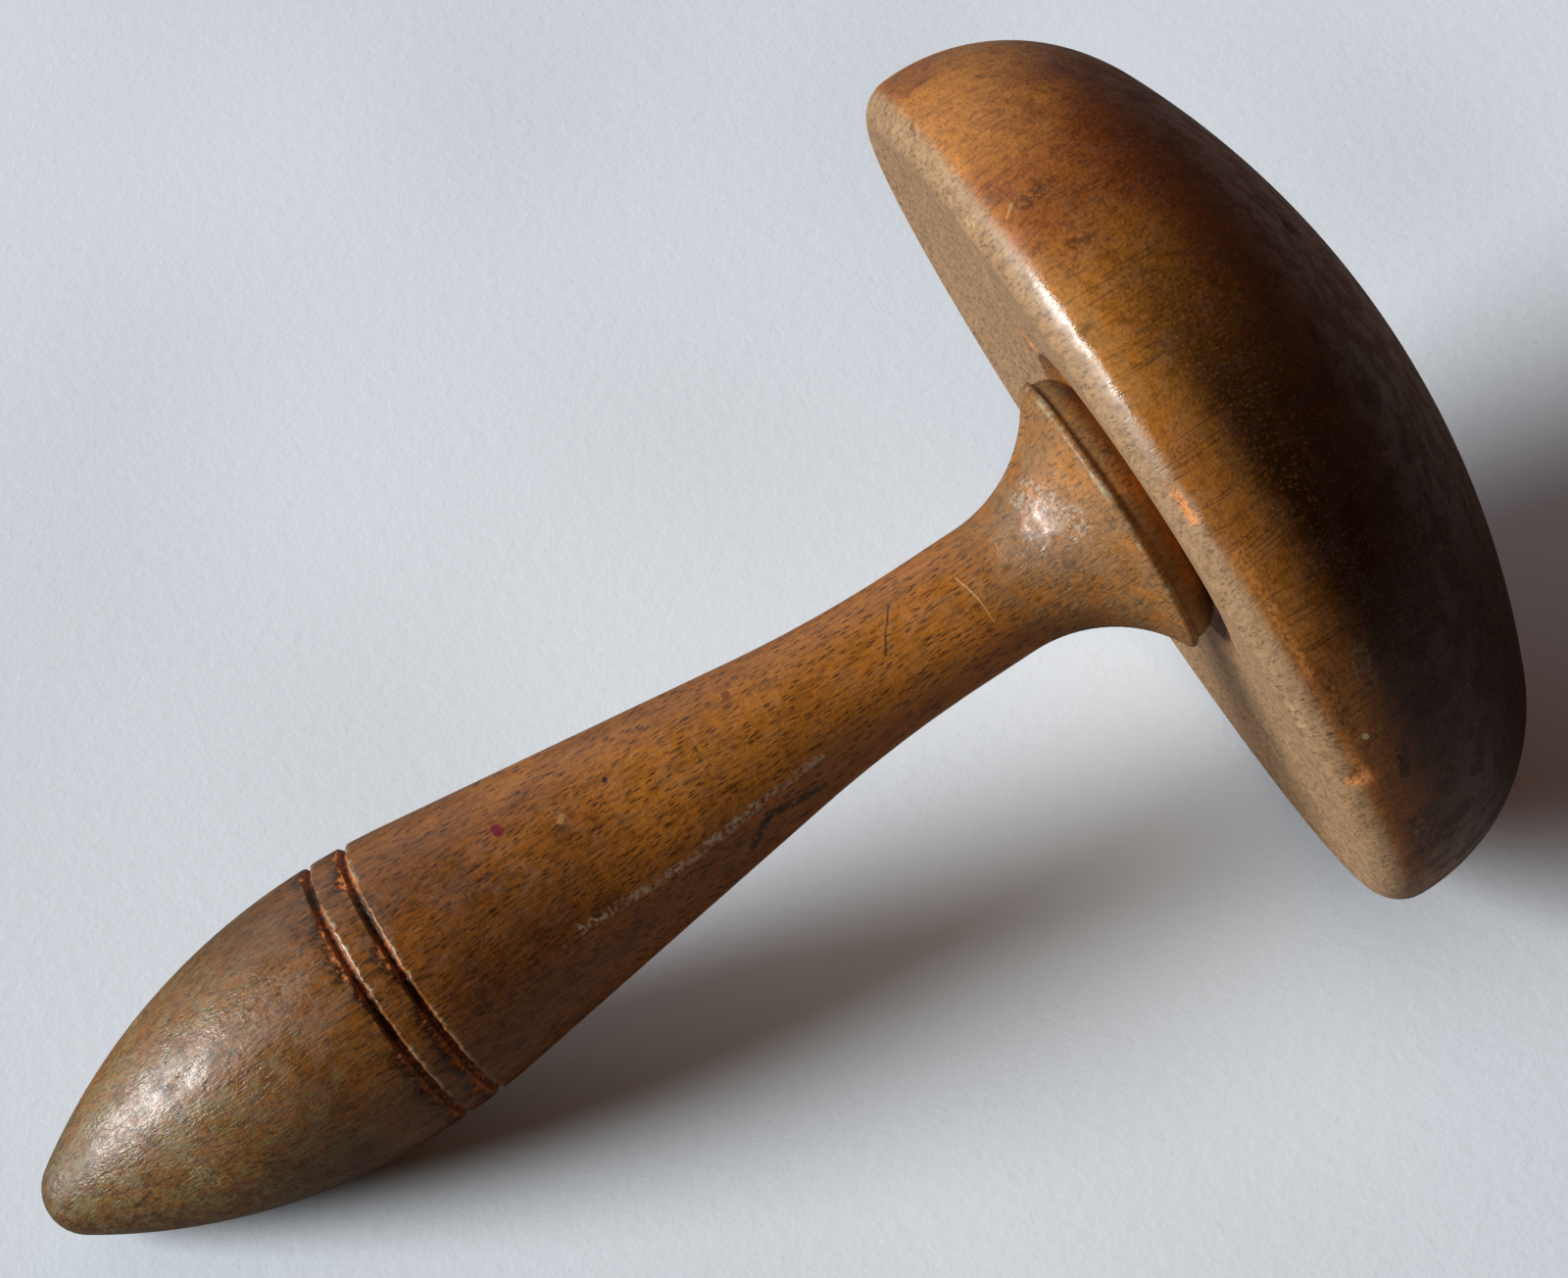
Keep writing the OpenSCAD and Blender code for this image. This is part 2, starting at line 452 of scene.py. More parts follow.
class Lathe:
    """A Geometry Nodes tree that turns an outline about its axis and lays it down.

    The outline comes in as a line of points, x for the radius and z for the height,
    with an attribute that says where the screw thread is cut.
    """

    merge_distance = 1e-6
    ridge_share = (0.08, 0.42)
    run_out_turns = 0.4
    inputs = (
        ("Segments", "NodeSocketInt"),
        ("Thread pitch", "NodeSocketFloat"),
        ("Thread depth", "NodeSocketFloat"),
        ("Thread bottom", "NodeSocketFloat"),
        ("Thread top", "NodeSocketFloat"),
        ("Turn", "NodeSocketVector"),
        ("Shift", "NodeSocketVector"),
        ("Material", "NodeSocketMaterial"),
    )

    def __init__(self, rest: Rest, thread: Thread) -> None:
        """Build the tree, which then turns both pieces.

        Args:
            rest: How the pieces lie.
            thread: The screw thread that the marked stretches carry.
        """
        self.rest = rest
        self.thread = thread
        self.tree = bpy.data.node_groups.new("lathe", "GeometryNodeTree")
        face = self.tree.interface
        face.new_socket("Geometry", in_out="INPUT", socket_type="NodeSocketGeometry")
        for name, kind in self.inputs:
            face.new_socket(name, in_out="INPUT", socket_type=kind)
        face.new_socket("Geometry", in_out="OUTPUT", socket_type="NodeSocketGeometry")
        self.given = self.add("NodeGroupInput").node.outputs
        self.finish_mesh(self.turned_grid())

    def add(
        self,
        kind: str,
        settings: dict[str, Any] | None = None,
        inputs: dict[str | int, Any] | list[Any] | None = None,
        output: str | int = 0,
    ) -> Socket | None:
        """Add a node to the lathe's tree."""
        return add_node(self.tree, kind, settings, inputs, output)

    def thread_cut(self, height: Socket, angle: Socket, marked: Socket) -> Socket:
        """Work out how deep the thread is cut at a height and angle.

        Args:
            height: The height along the axis.
            angle: The angle about the axis.
            marked: 1 where the outline carries the thread.

        Returns:
            The depth.
        """
        pitch = self.given["Thread pitch"]
        climb = self.add("ShaderNodeMath", DIVIDE, [height, pitch])
        round_share = self.add("ShaderNodeMath", DIVIDE, [angle, math.tau])
        turns = self.add("ShaderNodeMath", SUBTRACT, [climb, round_share])
        valley = self.add("ShaderNodeMath", {"operation": "PINGPONG"}, [turns, 0.5])
        rounded = self.add("ShaderNodeMapRange", SOFT, [valley, *self.ridge_share])
        fades = []
        for end, way in (("Thread bottom", 1), ("Thread top", -1)):
            full = self.add("ShaderNodeMath", MULTIPLY_ADD, [
                pitch, way * self.run_out_turns, self.given[end],
            ])
            fades.append(self.add("ShaderNodeMapRange", None, [height, self.given[end], full]))
        faded = self.add("ShaderNodeMath", MULTIPLY, fades)
        ridge = self.add("ShaderNodeMath", MULTIPLY, [self.given["Thread depth"], rounded])
        share = self.add("ShaderNodeMath", MULTIPLY, [marked, faded])
        return self.add("ShaderNodeMath", MULTIPLY, [ridge, share])

    def turned_grid(self) -> Socket:
        """Wrap a grid round the axis, one row for each point of the outline.

        Returns:
            The turned mesh.
        """
        line = self.given["Geometry"]
        segments = self.given["Segments"]
        rows = self.add("GeometryNodeAttributeDomainSize", {"component": "MESH"}, {
            "Geometry": line,
        }, "Point Count")
        columns = self.add("ShaderNodeMath", ADD, [segments, 1.0])
        last_row = self.add("ShaderNodeMath", SUBTRACT, [rows, 1.0])
        grid = self.add("GeometryNodeMeshGrid", None, {
            "Size X": segments, "Size Y": last_row, "Vertices X": columns, "Vertices Y": rows,
        }, "Mesh")
        here = self.add("GeometryNodeInputPosition")
        place = self.add("ShaderNodeSeparateXYZ", None, [here]).node.outputs
        column = self.add("ShaderNodeMath", {"operation": "ROUND"}, [
            self.add("ShaderNodeMath", MULTIPLY_ADD, [segments, 0.5, place["X"]]),
        ])
        row = self.add("ShaderNodeMath", {"operation": "ROUND"}, [
            self.add("ShaderNodeMath", MULTIPLY_ADD, [last_row, 0.5, place["Y"]]),
        ])
        round_share = self.add("ShaderNodeMath", DIVIDE, [column, segments])
        angle = self.add("ShaderNodeMath", MULTIPLY, [round_share, math.tau])
        spot = self.add("GeometryNodeSampleIndex", {"data_type": "FLOAT_VECTOR"}, {
            "Geometry": line, "Value": self.add("GeometryNodeInputPosition"), "Index": row,
        }, "Value")
        marked = self.add("GeometryNodeSampleIndex", {"data_type": "FLOAT"}, {
            "Geometry": line,
            "Value": self.add("GeometryNodeInputNamedAttribute", {"data_type": "FLOAT"}, {
                "Name": "thread",
            }, "Attribute"),
            "Index": row,
        }, "Value")
        point = self.add("ShaderNodeSeparateXYZ", None, [spot]).node.outputs
        depth = self.thread_cut(point["Z"], angle, marked)
        wall = self.add("ShaderNodeMath", SUBTRACT, [point["X"], depth])
        across, up = (
            self.add("ShaderNodeMath", MULTIPLY, [
                wall, self.add("ShaderNodeMath", {"operation": operation}, [angle]),
            ])
            for operation in ("COSINE", "SINE")
        )
        position = self.add("ShaderNodeCombineXYZ", None, [across, up, point["Z"]])
        return self.add("GeometryNodeSetPosition", None, {"Geometry": grid, "Position": position})

    def finish_mesh(self, turned: Socket) -> None:
        """Close the seam and poles, lay the piece down and dress it.

        Args:
            turned: The turned mesh.
        """
        joined = self.add("GeometryNodeMergeByDistance", None, {
            "Geometry": turned, "Distance": self.merge_distance,
        })
        laid = self.add("GeometryNodeTransform", None, {
            "Geometry": joined, "Translation": self.given["Shift"], "Rotation": self.given["Turn"],
        })
        smooth = self.add("GeometryNodeSetShadeSmooth", None, {"Geometry": laid})
        real = self.add("GeometryNodeRealizeInstances", None, {"Geometry": smooth})
        dressed = self.add("GeometryNodeSetMaterial", None, {
            "Geometry": real, "Material": self.given["Material"],
        })
        self.add("NodeGroupOutput", None, [dressed])

    def bake(self, piece: bpy.types.Object, values: dict[str, Any]) -> None:
        """Run the tree on a piece and keep the result as the piece's plain mesh.

        Args:
            piece: The object whose mesh goes into the tree.
            values: The tree's inputs by name.
        """
        modifier = piece.modifiers.new(self.tree.name, "NODES")
        modifier.node_group = self.tree
        for item in self.tree.interface.items_tree:
            if item.item_type == "SOCKET" and item.in_out == "INPUT" and item.name in values:
                modifier[item.identifier] = values[item.name]
        bpy.context.scene.collection.objects.link(piece)
        depsgraph = bpy.context.evaluated_depsgraph_get()
        mesh = bpy.data.meshes.new_from_object(piece.evaluated_get(depsgraph), depsgraph=depsgraph)
        piece.modifiers.remove(modifier)
        piece.data = mesh
        mesh.name = piece.name

    def turn(
        self,
        name: str,
        outline: Outline,
        thread_depth: float,
        segments: int,
        finish: bpy.types.Material,
    ) -> bpy.types.Object:
        """Turn an outline.

        Args:
            name: The piece's name.
            outline: Its outline in upright millimetres.
            thread_depth: The thread's depth, negative where it is cut outwards.
            segments: How many flats the turning has.
            finish: The material that dresses it.

        Returns:
            The finished piece as a plain mesh object.
        """
        line = bpy.data.meshes.new(name + "_outline")
        line.from_pydata([(r * MM, 0.0, z * MM) for r, z in outline.points], [], [])
        marks = line.attributes.new("thread", "FLOAT", "POINT")
        marks.data.foreach_set("value", outline.cut)
        piece = bpy.data.objects.new(name, line)
        self.bake(piece, {
            "Segments": segments,
            "Thread pitch": self.thread.pitch * MM,
            "Thread depth": thread_depth * MM,
            "Thread bottom": self.thread.bottom * MM,
            "Thread top": self.thread.top * MM,
            "Turn": tuple(self.rest.turn),
            "Shift": tuple(self.rest.shift),
            "Material": finish,
        })
        return piece


# Carving and staining a turned surface

class Skin:
    """A turning's surface in upright millimetres, for tools to carve and stain."""

    def __init__(self, piece: bpy.types.Object, rest: Rest) -> None:
        """Read a piece's surface.

        Args:
            piece: The turned piece.
            rest: How it lies.
        """
        self.piece = piece
        self.rest = rest
        mesh = piece.data
        count = len(mesh.vertices)
        flat = np.empty(count * 3)
        mesh.vertices.foreach_get("co", flat)
        self.points = rest.to_upright(flat.reshape(-1, 3))
        mesh.vertices.foreach_get("normal", flat)
        self.normals = flat.reshape(-1, 3) @ rest.basis
        self.radius = np.hypot(self.points[:, 0], self.points[:, 1])
        self.paint = {name: np.zeros(count) for name in ("bare", "grime", "worn")}
        faces = [tuple(face.vertices) for face in mesh.polygons]
        self.shell = BVHTree.FromPolygons([vertex.co for vertex in mesh.vertices], faces)

    def find(self, view: PhotoView, pixel: Point) -> np.ndarray:
        """Find the place on the surface that a pixel of the photograph shows.

        Args:
            view: The photograph's viewpoint.
            pixel: The pixel, in the photograph's own size.

        Returns:
            The place in upright millimetres, or the nearest one for a pixel just outside.
        """
        way = view.ray(pixel)
        place = self.shell.ray_cast(view.location, way)[0]
        if place is None:
            reach = (self.rest.shift - view.location).dot(way)
            place = self.shell.find_nearest(view.location + way * reach)[0]
        return self.rest.to_upright(np.array(place))

    def facing(self, place: np.ndarray) -> np.ndarray:
        """Give the way the surface faces near a place."""
        return self.normals[np.argmin(np.linalg.norm(self.points - place, axis=1))]

    def stain(self, name: str, amount: np.ndarray, rows: np.ndarray) -> None:
        """Paint an attribute where it isn't stronger yet."""
        self.paint[name][rows] = np.maximum(self.paint[name][rows], amount)

    def sink(self, depth: np.ndarray, rows: np.ndarray) -> None:
        """Press points in along their normals, by a depth in millimetres."""
        self.points[rows] -= self.normals[rows] * depth[:, None]

    def save(self) -> None:
        """Write the carved points and the painted attributes to the piece."""
        mesh = self.piece.data
        mesh.vertices.foreach_set("co", self.rest.to_world(self.points).ravel())
        for name, values in self.paint.items():
            layer = mesh.attributes.new(name, "FLOAT", "POINT")
            layer.data.foreach_set("value", values)
        mesh.update()


@dataclass(frozen=True)
class TornGroove:
    """A scored ring whose edges have torn out along the grain.

    The score is cut to its full depth.  On the tip side the wood has torn out to a
    shallow, crumbled shelf with grime beyond it, and the cap side keeps a worn arris.
    """

    height: float
    seed: float
    width: float = 0.85
    depth: float = 0.55
    tear: float = 1.35
    shelf: float = 0.17
    reach: float = 3.1
    least_radius: float = 8.0
    patch_cell: float = 3.1
    rag_cell: float = 0.55
    crumb_cell: Cell = (0.3, 0.3, 0.34)
    rag_above: float = 0.12
    crumb_depth: float = 0.11
    rag_depth: float = 0.06
    bead_low: float = -66.0

    def carve(self, skin: Skin) -> None:
        """Cut the groove into a skin and stain it.

        Args:
            skin: The surface that gets the groove.
        """
        near = np.abs(skin.points[:, 2] - self.height) < self.reach
        rows = np.nonzero(near & (skin.radius > self.least_radius))[0]
        place = skin.points[rows]
        off = place[:, 2] - self.height
        ring = np.stack([place[:, 0], place[:, 1], np.zeros(len(rows))], axis=1)
        patchy = grain_noise(ring / self.patch_cell, self.seed, 2)
        ragged = grain_noise(ring / self.rag_cell, self.seed + 3, 3)
        fine = grain_noise(place / np.array(self.crumb_cell), self.seed + 7, 2)
        loose = np.clip(patchy + 0.45, 0, 1)
        below = self.width / 2 + self.tear * loose * np.clip(0.55 + ragged, 0, 1.3)
        above = self.width / 2 + self.rag_above * ragged
        score = np.clip(1 - np.abs(off) / np.where(off < 0, self.width / 2, above), 0, 1)
        inside = np.clip(1 - np.abs(off) / np.where(off < 0, below, above), 0, 1)

        bed = self.depth * np.minimum(1.0, score * 1.7) ** 0.9
        shelf = self.shelf * smooth_step(0.0, 0.22, inside)
        crumbled = self.crumb_depth * fine + self.rag_depth * ragged
        sunk = np.maximum(bed, shelf) + smooth_step(0.02, 0.25, inside) * crumbled
        skin.sink(np.clip(sunk, -0.02, self.depth + 0.12), rows)

        fresh = smooth_step(0.0, 0.12, inside) * smooth_step(-0.5, 0.0, patchy + 0.5 * fine)
        skin.stain("bare", fresh, rows)
        soot = smooth_step(0.2, 0.6, score) * smooth_step(0.3, -0.2, fine + 0.35 * patchy)
        beyond = -off - below
        rim = smooth_step(-0.12, 0.05, beyond) * smooth_step(0.95, 0.15, beyond + 0.5 * fine)
        rim = rim * smooth_step(-0.9, 0.1, patchy + ragged)
        skin.stain("grime", np.maximum(soot * 0.95, rim * 0.95), rows)
        bead = smooth_step(0.3, 0.7, beyond) * smooth_step(2.6, 1.6, beyond)
        skin.stain("grime", 0.35 * bead * (place[:, 2] > self.bead_low), rows)
        arris = smooth_step(0.24, 0.05, np.abs(off - above - 0.10))
        arris = arris * smooth_step(-0.25, 0.25, patchy + ragged)
        skin.stain("worn", 0.75 * arris, rows)


@dataclass(frozen=True)
class Chip:
    """A place where the edge has broken out, or where a knock has left a dent."""

    pixel: Point
    along: float
    across: float
    depth: float
    bare: float = 1.0
    grime: float = 0.0
    rag_cell: float = 1.3

    def carve(self, skin: Skin, view: PhotoView) -> None:
        """Break the chip out of a skin.

        Args:
            skin: The surface that gets the chip.
            view: The photograph's viewpoint, which says where the chip is.
        """
        centre = skin.find(view, self.pixel)
        away = skin.points - centre
        rows = np.nonzero(np.linalg.norm(away, axis=1) < 2.5 * max(self.along, self.across))[0]
        turn = math.atan2(centre[1], centre[0])
        tangent = np.array([-math.sin(turn), math.cos(turn), 0.0])
        along = away[rows] @ tangent
        across = np.linalg.norm(away[rows] - along[:, None] * tangent, axis=1)
        ragged = grain_noise(skin.points[rows] / self.rag_cell, self.pixel[0], 2)
        gap = np.hypot(along / self.along, across / self.across) + 0.35 * ragged * self.bare
        inside = smooth_step(1.05, 0.6, gap)
        skin.sink(self.depth * inside * (1 + 0.5 * ragged * self.bare), rows)
        skin.stain("bare", self.bare * smooth_step(1.05, 0.85, gap), rows)
        skin.stain("grime", self.grime * smooth_step(1.15, 0.6, gap), rows)


@dataclass(frozen=True)
class Mark:
    """A stroke or spot of colour on the surface, given by its ends in the photograph.

    The width is in millimetres.  broken says how far the stroke breaks up into crumbs,
    and shine how much smoother it is than the varnish round it.
    """

    start: Point
    end: Point
    width: float
    colour: str
    strength: float = 0.85
    broken: float = 0.0
    shine: float = 0.0


# The handle

@dataclass
class Handle:
    """The grip handle: a pointed barrel, a tapered neck, a collar and a screw spigot."""

    sizes: HandleSizes
    segments: int = 420
    arris: float = 0.12

    def outline(self) -> Outline:
        """Draw the handle's outline from the tip to the spigot's end.

        Returns:
            The outline in upright millimetres.
        """
        s = self.sizes
        line = Outline()
        line.arc(s.tip_c, s.tip_r, -90, s.tip_end_deg, 0.6)
        line.arc(s.barrel_c, s.barrel_curve_r, s.tip_end_deg, 0, 0.9)
        near, far = s.groove_heights()
        low = math.degrees(math.asin((far - 1.3 - s.barrel_z) / s.shoulder_r))
        high = math.degrees(math.asin((near + 1.1 - s.barrel_z) / s.shoulder_r))
        line.arc(s.shoulder_c, s.shoulder_r, 0, low, 0.4)
        line.arc(s.shoulder_c, s.shoulder_r, low, high, 0.1)
        line.arc(s.shoulder_c, s.shoulder_r, high, s.taper_deg, 1.2)
        line.arc(s.hollow_c, s.hollow_r, 180 + s.taper_deg, 180, 1.3)
        line.arc(s.flare_c, s.flare_r, 180, 180 + s.flare_end_deg, 0.8)
        line.arc(s.bead_c, s.bead_r, s.flare_end_deg, 90, 0.14)
        line.arc(s.back_c, s.back_r, 0, 90, 0.4)
        root = s.spigot_r - s.relief_depth
        line.to(s.spigot_r + 0.6, s.seat_z, 0.8)
        line.to(root, s.seat_z)
        line.to(root, s.seat_z + s.relief_w - 0.3, 0.5)
        line.to(s.spigot_r - 0.3, s.seat_z + s.relief_w)
        line.to(s.spigot_r, s.seat_z + s.relief_w + 0.2)
        line.to(s.spigot_r, s.spigot_end_z - s.lead_in, 0.27, cut=1.0)
        line.to(s.spigot_r - s.lead_in, s.spigot_end_z, 0.3)
        line.to(0.0, s.spigot_end_z, 1.0)
        line.soften(self.arris)
        return line

    def wear_collar(self, skin: Skin) -> None:
        """Rub the collar's outer edge pale.

        Args:
            skin: The handle's surface.
        """
        height = skin.points[:, 2]
        by_collar = (skin.radius > self.sizes.collar_r - 1.0) & (height > -6) & (height < 4)
        rows = np.nonzero(by_collar)[0]
        patchy = grain_noise(skin.points[rows] / 1.1, 21.0, 3)
        edge = smooth_step(self.sizes.collar_r - 0.22, self.sizes.collar_r - 0.08, skin.radius[rows])
        skin.stain("worn", 0.7 * edge * smooth_step(0.08, 0.4, patchy), rows)

    def build(self, lathe: Lathe, view: PhotoView, finish: TurnedBeech) -> bpy.types.Object:
        """Turn, carve and dress the handle.

        Args:
            lathe: The lathe that turns it.
            view: The photograph's viewpoint, which says where the marks of wear are.
            finish: The handle's wood.

        Returns:
            The handle's piece.
        """
        sheet = NodeSheet(finish.name)
        piece = lathe.turn(
            "grip_handle", self.outline(), lathe.thread.depth, self.segments, sheet.material
        )
        skin = Skin(piece, lathe.rest)
        near, far = self.sizes.groove_heights()
        TornGroove(near, seed=4.0).carve(skin)
        TornGroove(far, seed=11.0, tear=1.15).carve(skin)
        self.wear_collar(skin)
        for chip in HANDLE_CHIPS.values():
            chip.carve(skin, view)
        skin.save()
        finish.dress(sheet, skin, view, HANDLE_MARKS)
        return piece


# The cap

@dataclass
class Cap:
    """The domed cap: crown, rounded edge, dished underside, recess and threaded socket."""

    sizes: CapSizes
    handle: HandleSizes
    segments: int = 600
    arris: float = 0.18

    def outline(self) -> Outline:
        """Draw the cap's outline from the socket's end, round the edge, to the crown.

        Returns:
            The outline in upright millimetres.
        """
        s = self.sizes
        floor_z = self.handle.seat_z + s.seat_gap
        floor_r = s.recess_r - (floor_z - s.recess_mouth_z)
        socket_r = self.handle.spigot_r + s.socket_clear
        socket_end_z = self.handle.spigot_end_z + s.socket_spare
        point_z = socket_end_z + socket_r / math.tan(math.radians(s.drill_half_deg))
        line = Outline()
        line.to(0.0, point_z)
        line.to(socket_r, socket_end_z, 1.5)
        line.to(socket_r, floor_z + self.handle.lead_in, 0.36, cut=1.0)
        line.to(socket_r + self.handle.lead_in, floor_z, 0.5)
        line.to(floor_r, floor_z, 1.2)
        line.to(s.recess_r, s.recess_mouth_z, 0.4)
        line.to(*s.underside_end, 1.0)
        line.arc(s.edge_c, s.edge_r, -90 - s.dish_deg, s.edge_start_deg, 0.4)
        line.arc(s.shoulder_c, s.shoulder_r, s.edge_start_deg, s.crown_end_deg, 0.7)
        line.arc(s.crown_c, s.crown_r, s.crown_end_deg, 90, 0.95)
        line.soften(self.arris)
        return line

    def build(self, lathe: Lathe, view: PhotoView, finish: TurnedBeech) -> bpy.types.Object:
        """Turn, chip and dress the cap.

        Args:
            lathe: The lathe that turns it.
            view: The photograph's viewpoint, which says where the marks of wear are.
            finish: The cap's wood.

        Returns:
            The cap's piece.
        """
        sheet = NodeSheet(finish.name)
        piece = lathe.turn(
            "domed_cap", self.outline(), -lathe.thread.depth, self.segments, sheet.material
        )
        skin = Skin(piece, lathe.rest)
        for chip in CAP_CHIPS.values():
            chip.carve(skin, view)
        skin.save()
        finish.dress(sheet, skin, view, CAP_MARKS)
        return piece


# Wear, by where the photograph shows it

HANDLE_CHIPS: dict[str, Chip] = {
    "dent beside the crimson dot": Chip((572, 840), 0.55, 0.75, 0.22, bare=0.0),
    "dent on the tip": Chip((186, 1106), 0.9, 1.6, 0.10, bare=0.0),
    "pit of the reddish dot": Chip((740, 708), 0.4, 0.5, 0.08, bare=0.0),
}
HANDLE_MARKS: dict[str, Mark] = {
    "crimson dot": Mark((506, 845), (509, 849), 0.9, "#610d24", 0.92),
    # The dent's two marks are painted light: a pale painted highlight on the side that faces the lamp and
    # a dark painted shade on the other.
    "painted highlight on the dent": Mark((571, 838), (573, 833), 0.5, "#b98c4a", 0.4),
    "painted shade in the dent": Mark((573, 846), (576, 844), 0.5, "#4a3016", 0.5),
    "dark dot": Mark((617, 795), (617, 796), 0.45, "#1f140f", 0.9),
    "reddish dot": Mark((740, 708), (741, 710), 0.7, "#5e2410", 0.75),
    "dark scratch on the neck": Mark((907, 617), (903, 669), 0.20, "#241509", 0.65),
    "pale scratch, first bend": Mark((975, 590), (998, 610), 0.14, "#c9a36c", 0.5),
    "pale scratch, second bend": Mark((998, 610), (1015, 635), 0.14, "#c9a36c", 0.5),
    "scuff line, tip end": Mark((594, 947), (693, 886), 0.9, "#b0a494", 0.75, 0.8),
    "scuff line, middle": Mark((693, 886), (769, 825), 0.9, "#b0a494", 0.75, 0.7),
    "scuff line, neck end": Mark((769, 825), (837, 772), 0.7, "#b0a494", 0.65, 0.8),
    "hooked smear, short arm": Mark((769, 863), (784, 833), 0.8, "#22150d", 0.8, 0.15),
    "hooked smear, long arm": Mark((784, 833), (834, 806), 0.9, "#22150d", 0.8, 0.15),
    "pale patch on the tip": Mark((180, 1090), (198, 1128), 2.0, "#9c8868", 0.32, 0.5),
    "dark line of the tip's dent": Mark((162, 1102), (188, 1145), 0.3, "#3a2c1f", 0.85),
    "thin line beside the dent": Mark((190, 1140), (206, 1170), 0.28, "#5a4026", 0.6, 0.4),
    "grey-green scuff": Mark((196, 1190), (226, 1206), 1.6, "#8b8a6c", 0.4, 0.8),
    "stain by the far groove": Mark((372, 1010), (384, 1040), 1.4, "#43291a", 0.55, 0.5),
    "cracks under the far groove": Mark((420, 1150), (447, 1138), 0.9, "#1f1813", 0.6, 0.6),
    "crack near the point": Mark((138, 1232), (154, 1216), 0.35, "#2a1e13", 0.7),
    "speck at the crack's end": Mark((150, 1206), (152, 1203), 1.3, "#2a1e13", 0.55, 0.5),
    "cross-grain crack": Mark((704, 753), (723, 791), 0.25, "#3a2412", 0.5, 0.4),
    "nick under the barrel": Mark((556, 1060), (570, 1040), 0.5, "#20150f", 0.5, 0.4),
    "grey rub on the flare": Mark((1045, 505), (1098, 535), 3.0, "#9a9484", 0.45, 0.8),
    "dark stain on the flare": Mark((1075, 560), (1110, 600), 2.4, "#3a2b1c", 0.4, 0.6),
}
CAP_CHIPS: dict[str, Chip] = {
    "long chip on the edge": Chip((1207, 518), 1.6, 0.55, 0.22),
    "nick by the long chip": Chip((1194, 500), 0.5, 0.4, 0.2, bare=0.6, grime=0.3),
    "small chip on the edge": Chip((1226, 588), 0.9, 0.7, 0.22),
    "low chip on the edge": Chip((1390, 791), 1.1, 0.6, 0.25),
    "nick by the low chip": Chip((1378, 797), 0.7, 0.5, 0.22),
    "chip on the far edge": Chip((1012, 378), 1.3, 0.9, 0.25),
    "break in the polished rim": Chip((1110, 334), 0.35, 0.9, 0.14, bare=0.0, grime=0.6),
    "dent on the crown's outline": Chip((1317, 234), 0.9, 1.1, 0.22, bare=0.0),
    "pit near the top": Chip((1057, 101), 0.5, 0.5, 0.12, bare=0.0),
}
CAP_MARKS: dict[str, Mark] = {
    # The polished rim is smoother varnish, and its faint cream tint is a painted highlight along the run
    # where the lamp's highlight falls.
    "polished rim and painted highlight, upper run": Mark((1062, 273), (1105, 328), 2.2, "#c9a878", 0.10, shine=0.22),
    "polished rim and painted highlight, lower run": Mark((1112, 338), (1159, 407), 2.2, "#c9a878", 0.10, shine=0.22),
    "worn edge, upper run": Mark((1262, 560), (1298, 620), 0.7, "#b5763c", 0.6, 0.55),
    "worn edge, middle run": Mark((1298, 620), (1340, 693), 0.7, "#b5763c", 0.6, 0.6),
    "worn edge, lower run": Mark((1340, 693), (1392, 792), 0.7, "#b5763c", 0.6, 0.6),
    "pale dot": Mark((1393, 751), (1394, 752), 0.5, "#c8bfa9", 0.85),
    "greenish scuff": Mark((1387, 665), (1396, 696), 1.5, "#7d7059", 0.4, 0.7),
    "cracked dark patch": Mark((1455, 835), (1475, 875), 3.4, "#14100d", 0.75, 0.5),
    "dark blot by the rim": Mark((1045, 207), (1066, 190), 1.5, "#2b1a0c", 0.6, 0.5),
    "small blot by the rim": Mark((1094, 250), (1106, 246), 1.1, "#2b1a0c", 0.5, 0.4),
    "pale hairline": Mark((1027, 222), (1032, 208), 0.25, "#cba674", 0.3),
    "short dark line": Mark((930, 128), (934, 142), 0.5, "#3a2716", 0.6, 0.3),
    "dark rub by the edge": Mark((1348, 700), (1372, 750), 2.2, "#1c130d", 0.5, 0.6),
    "dark dent": Mark((1430, 765), (1434, 790), 0.9, "#120c08", 0.7, 0.3),
    "bare scrape under the rim": Mark((990, 232), (1010, 300), 1.6, "#c4935c", 0.35, 0.9),
    "bare scrape by the collar": Mark((1033, 318), (1046, 346), 1.4, "#c4935c", 0.4, 0.9),
    "pale scrape, low end": Mark((1317, 713), (1333, 750), 1.2, "#c9a583", 0.35, 0.85),
}


# The finishes

class Cut(Enum):
    """How a turning is cut from the plank: which way its fibre runs."""

    ALONG = "fibre along the turning axis"
    ACROSS = "fibre across the turning axis"


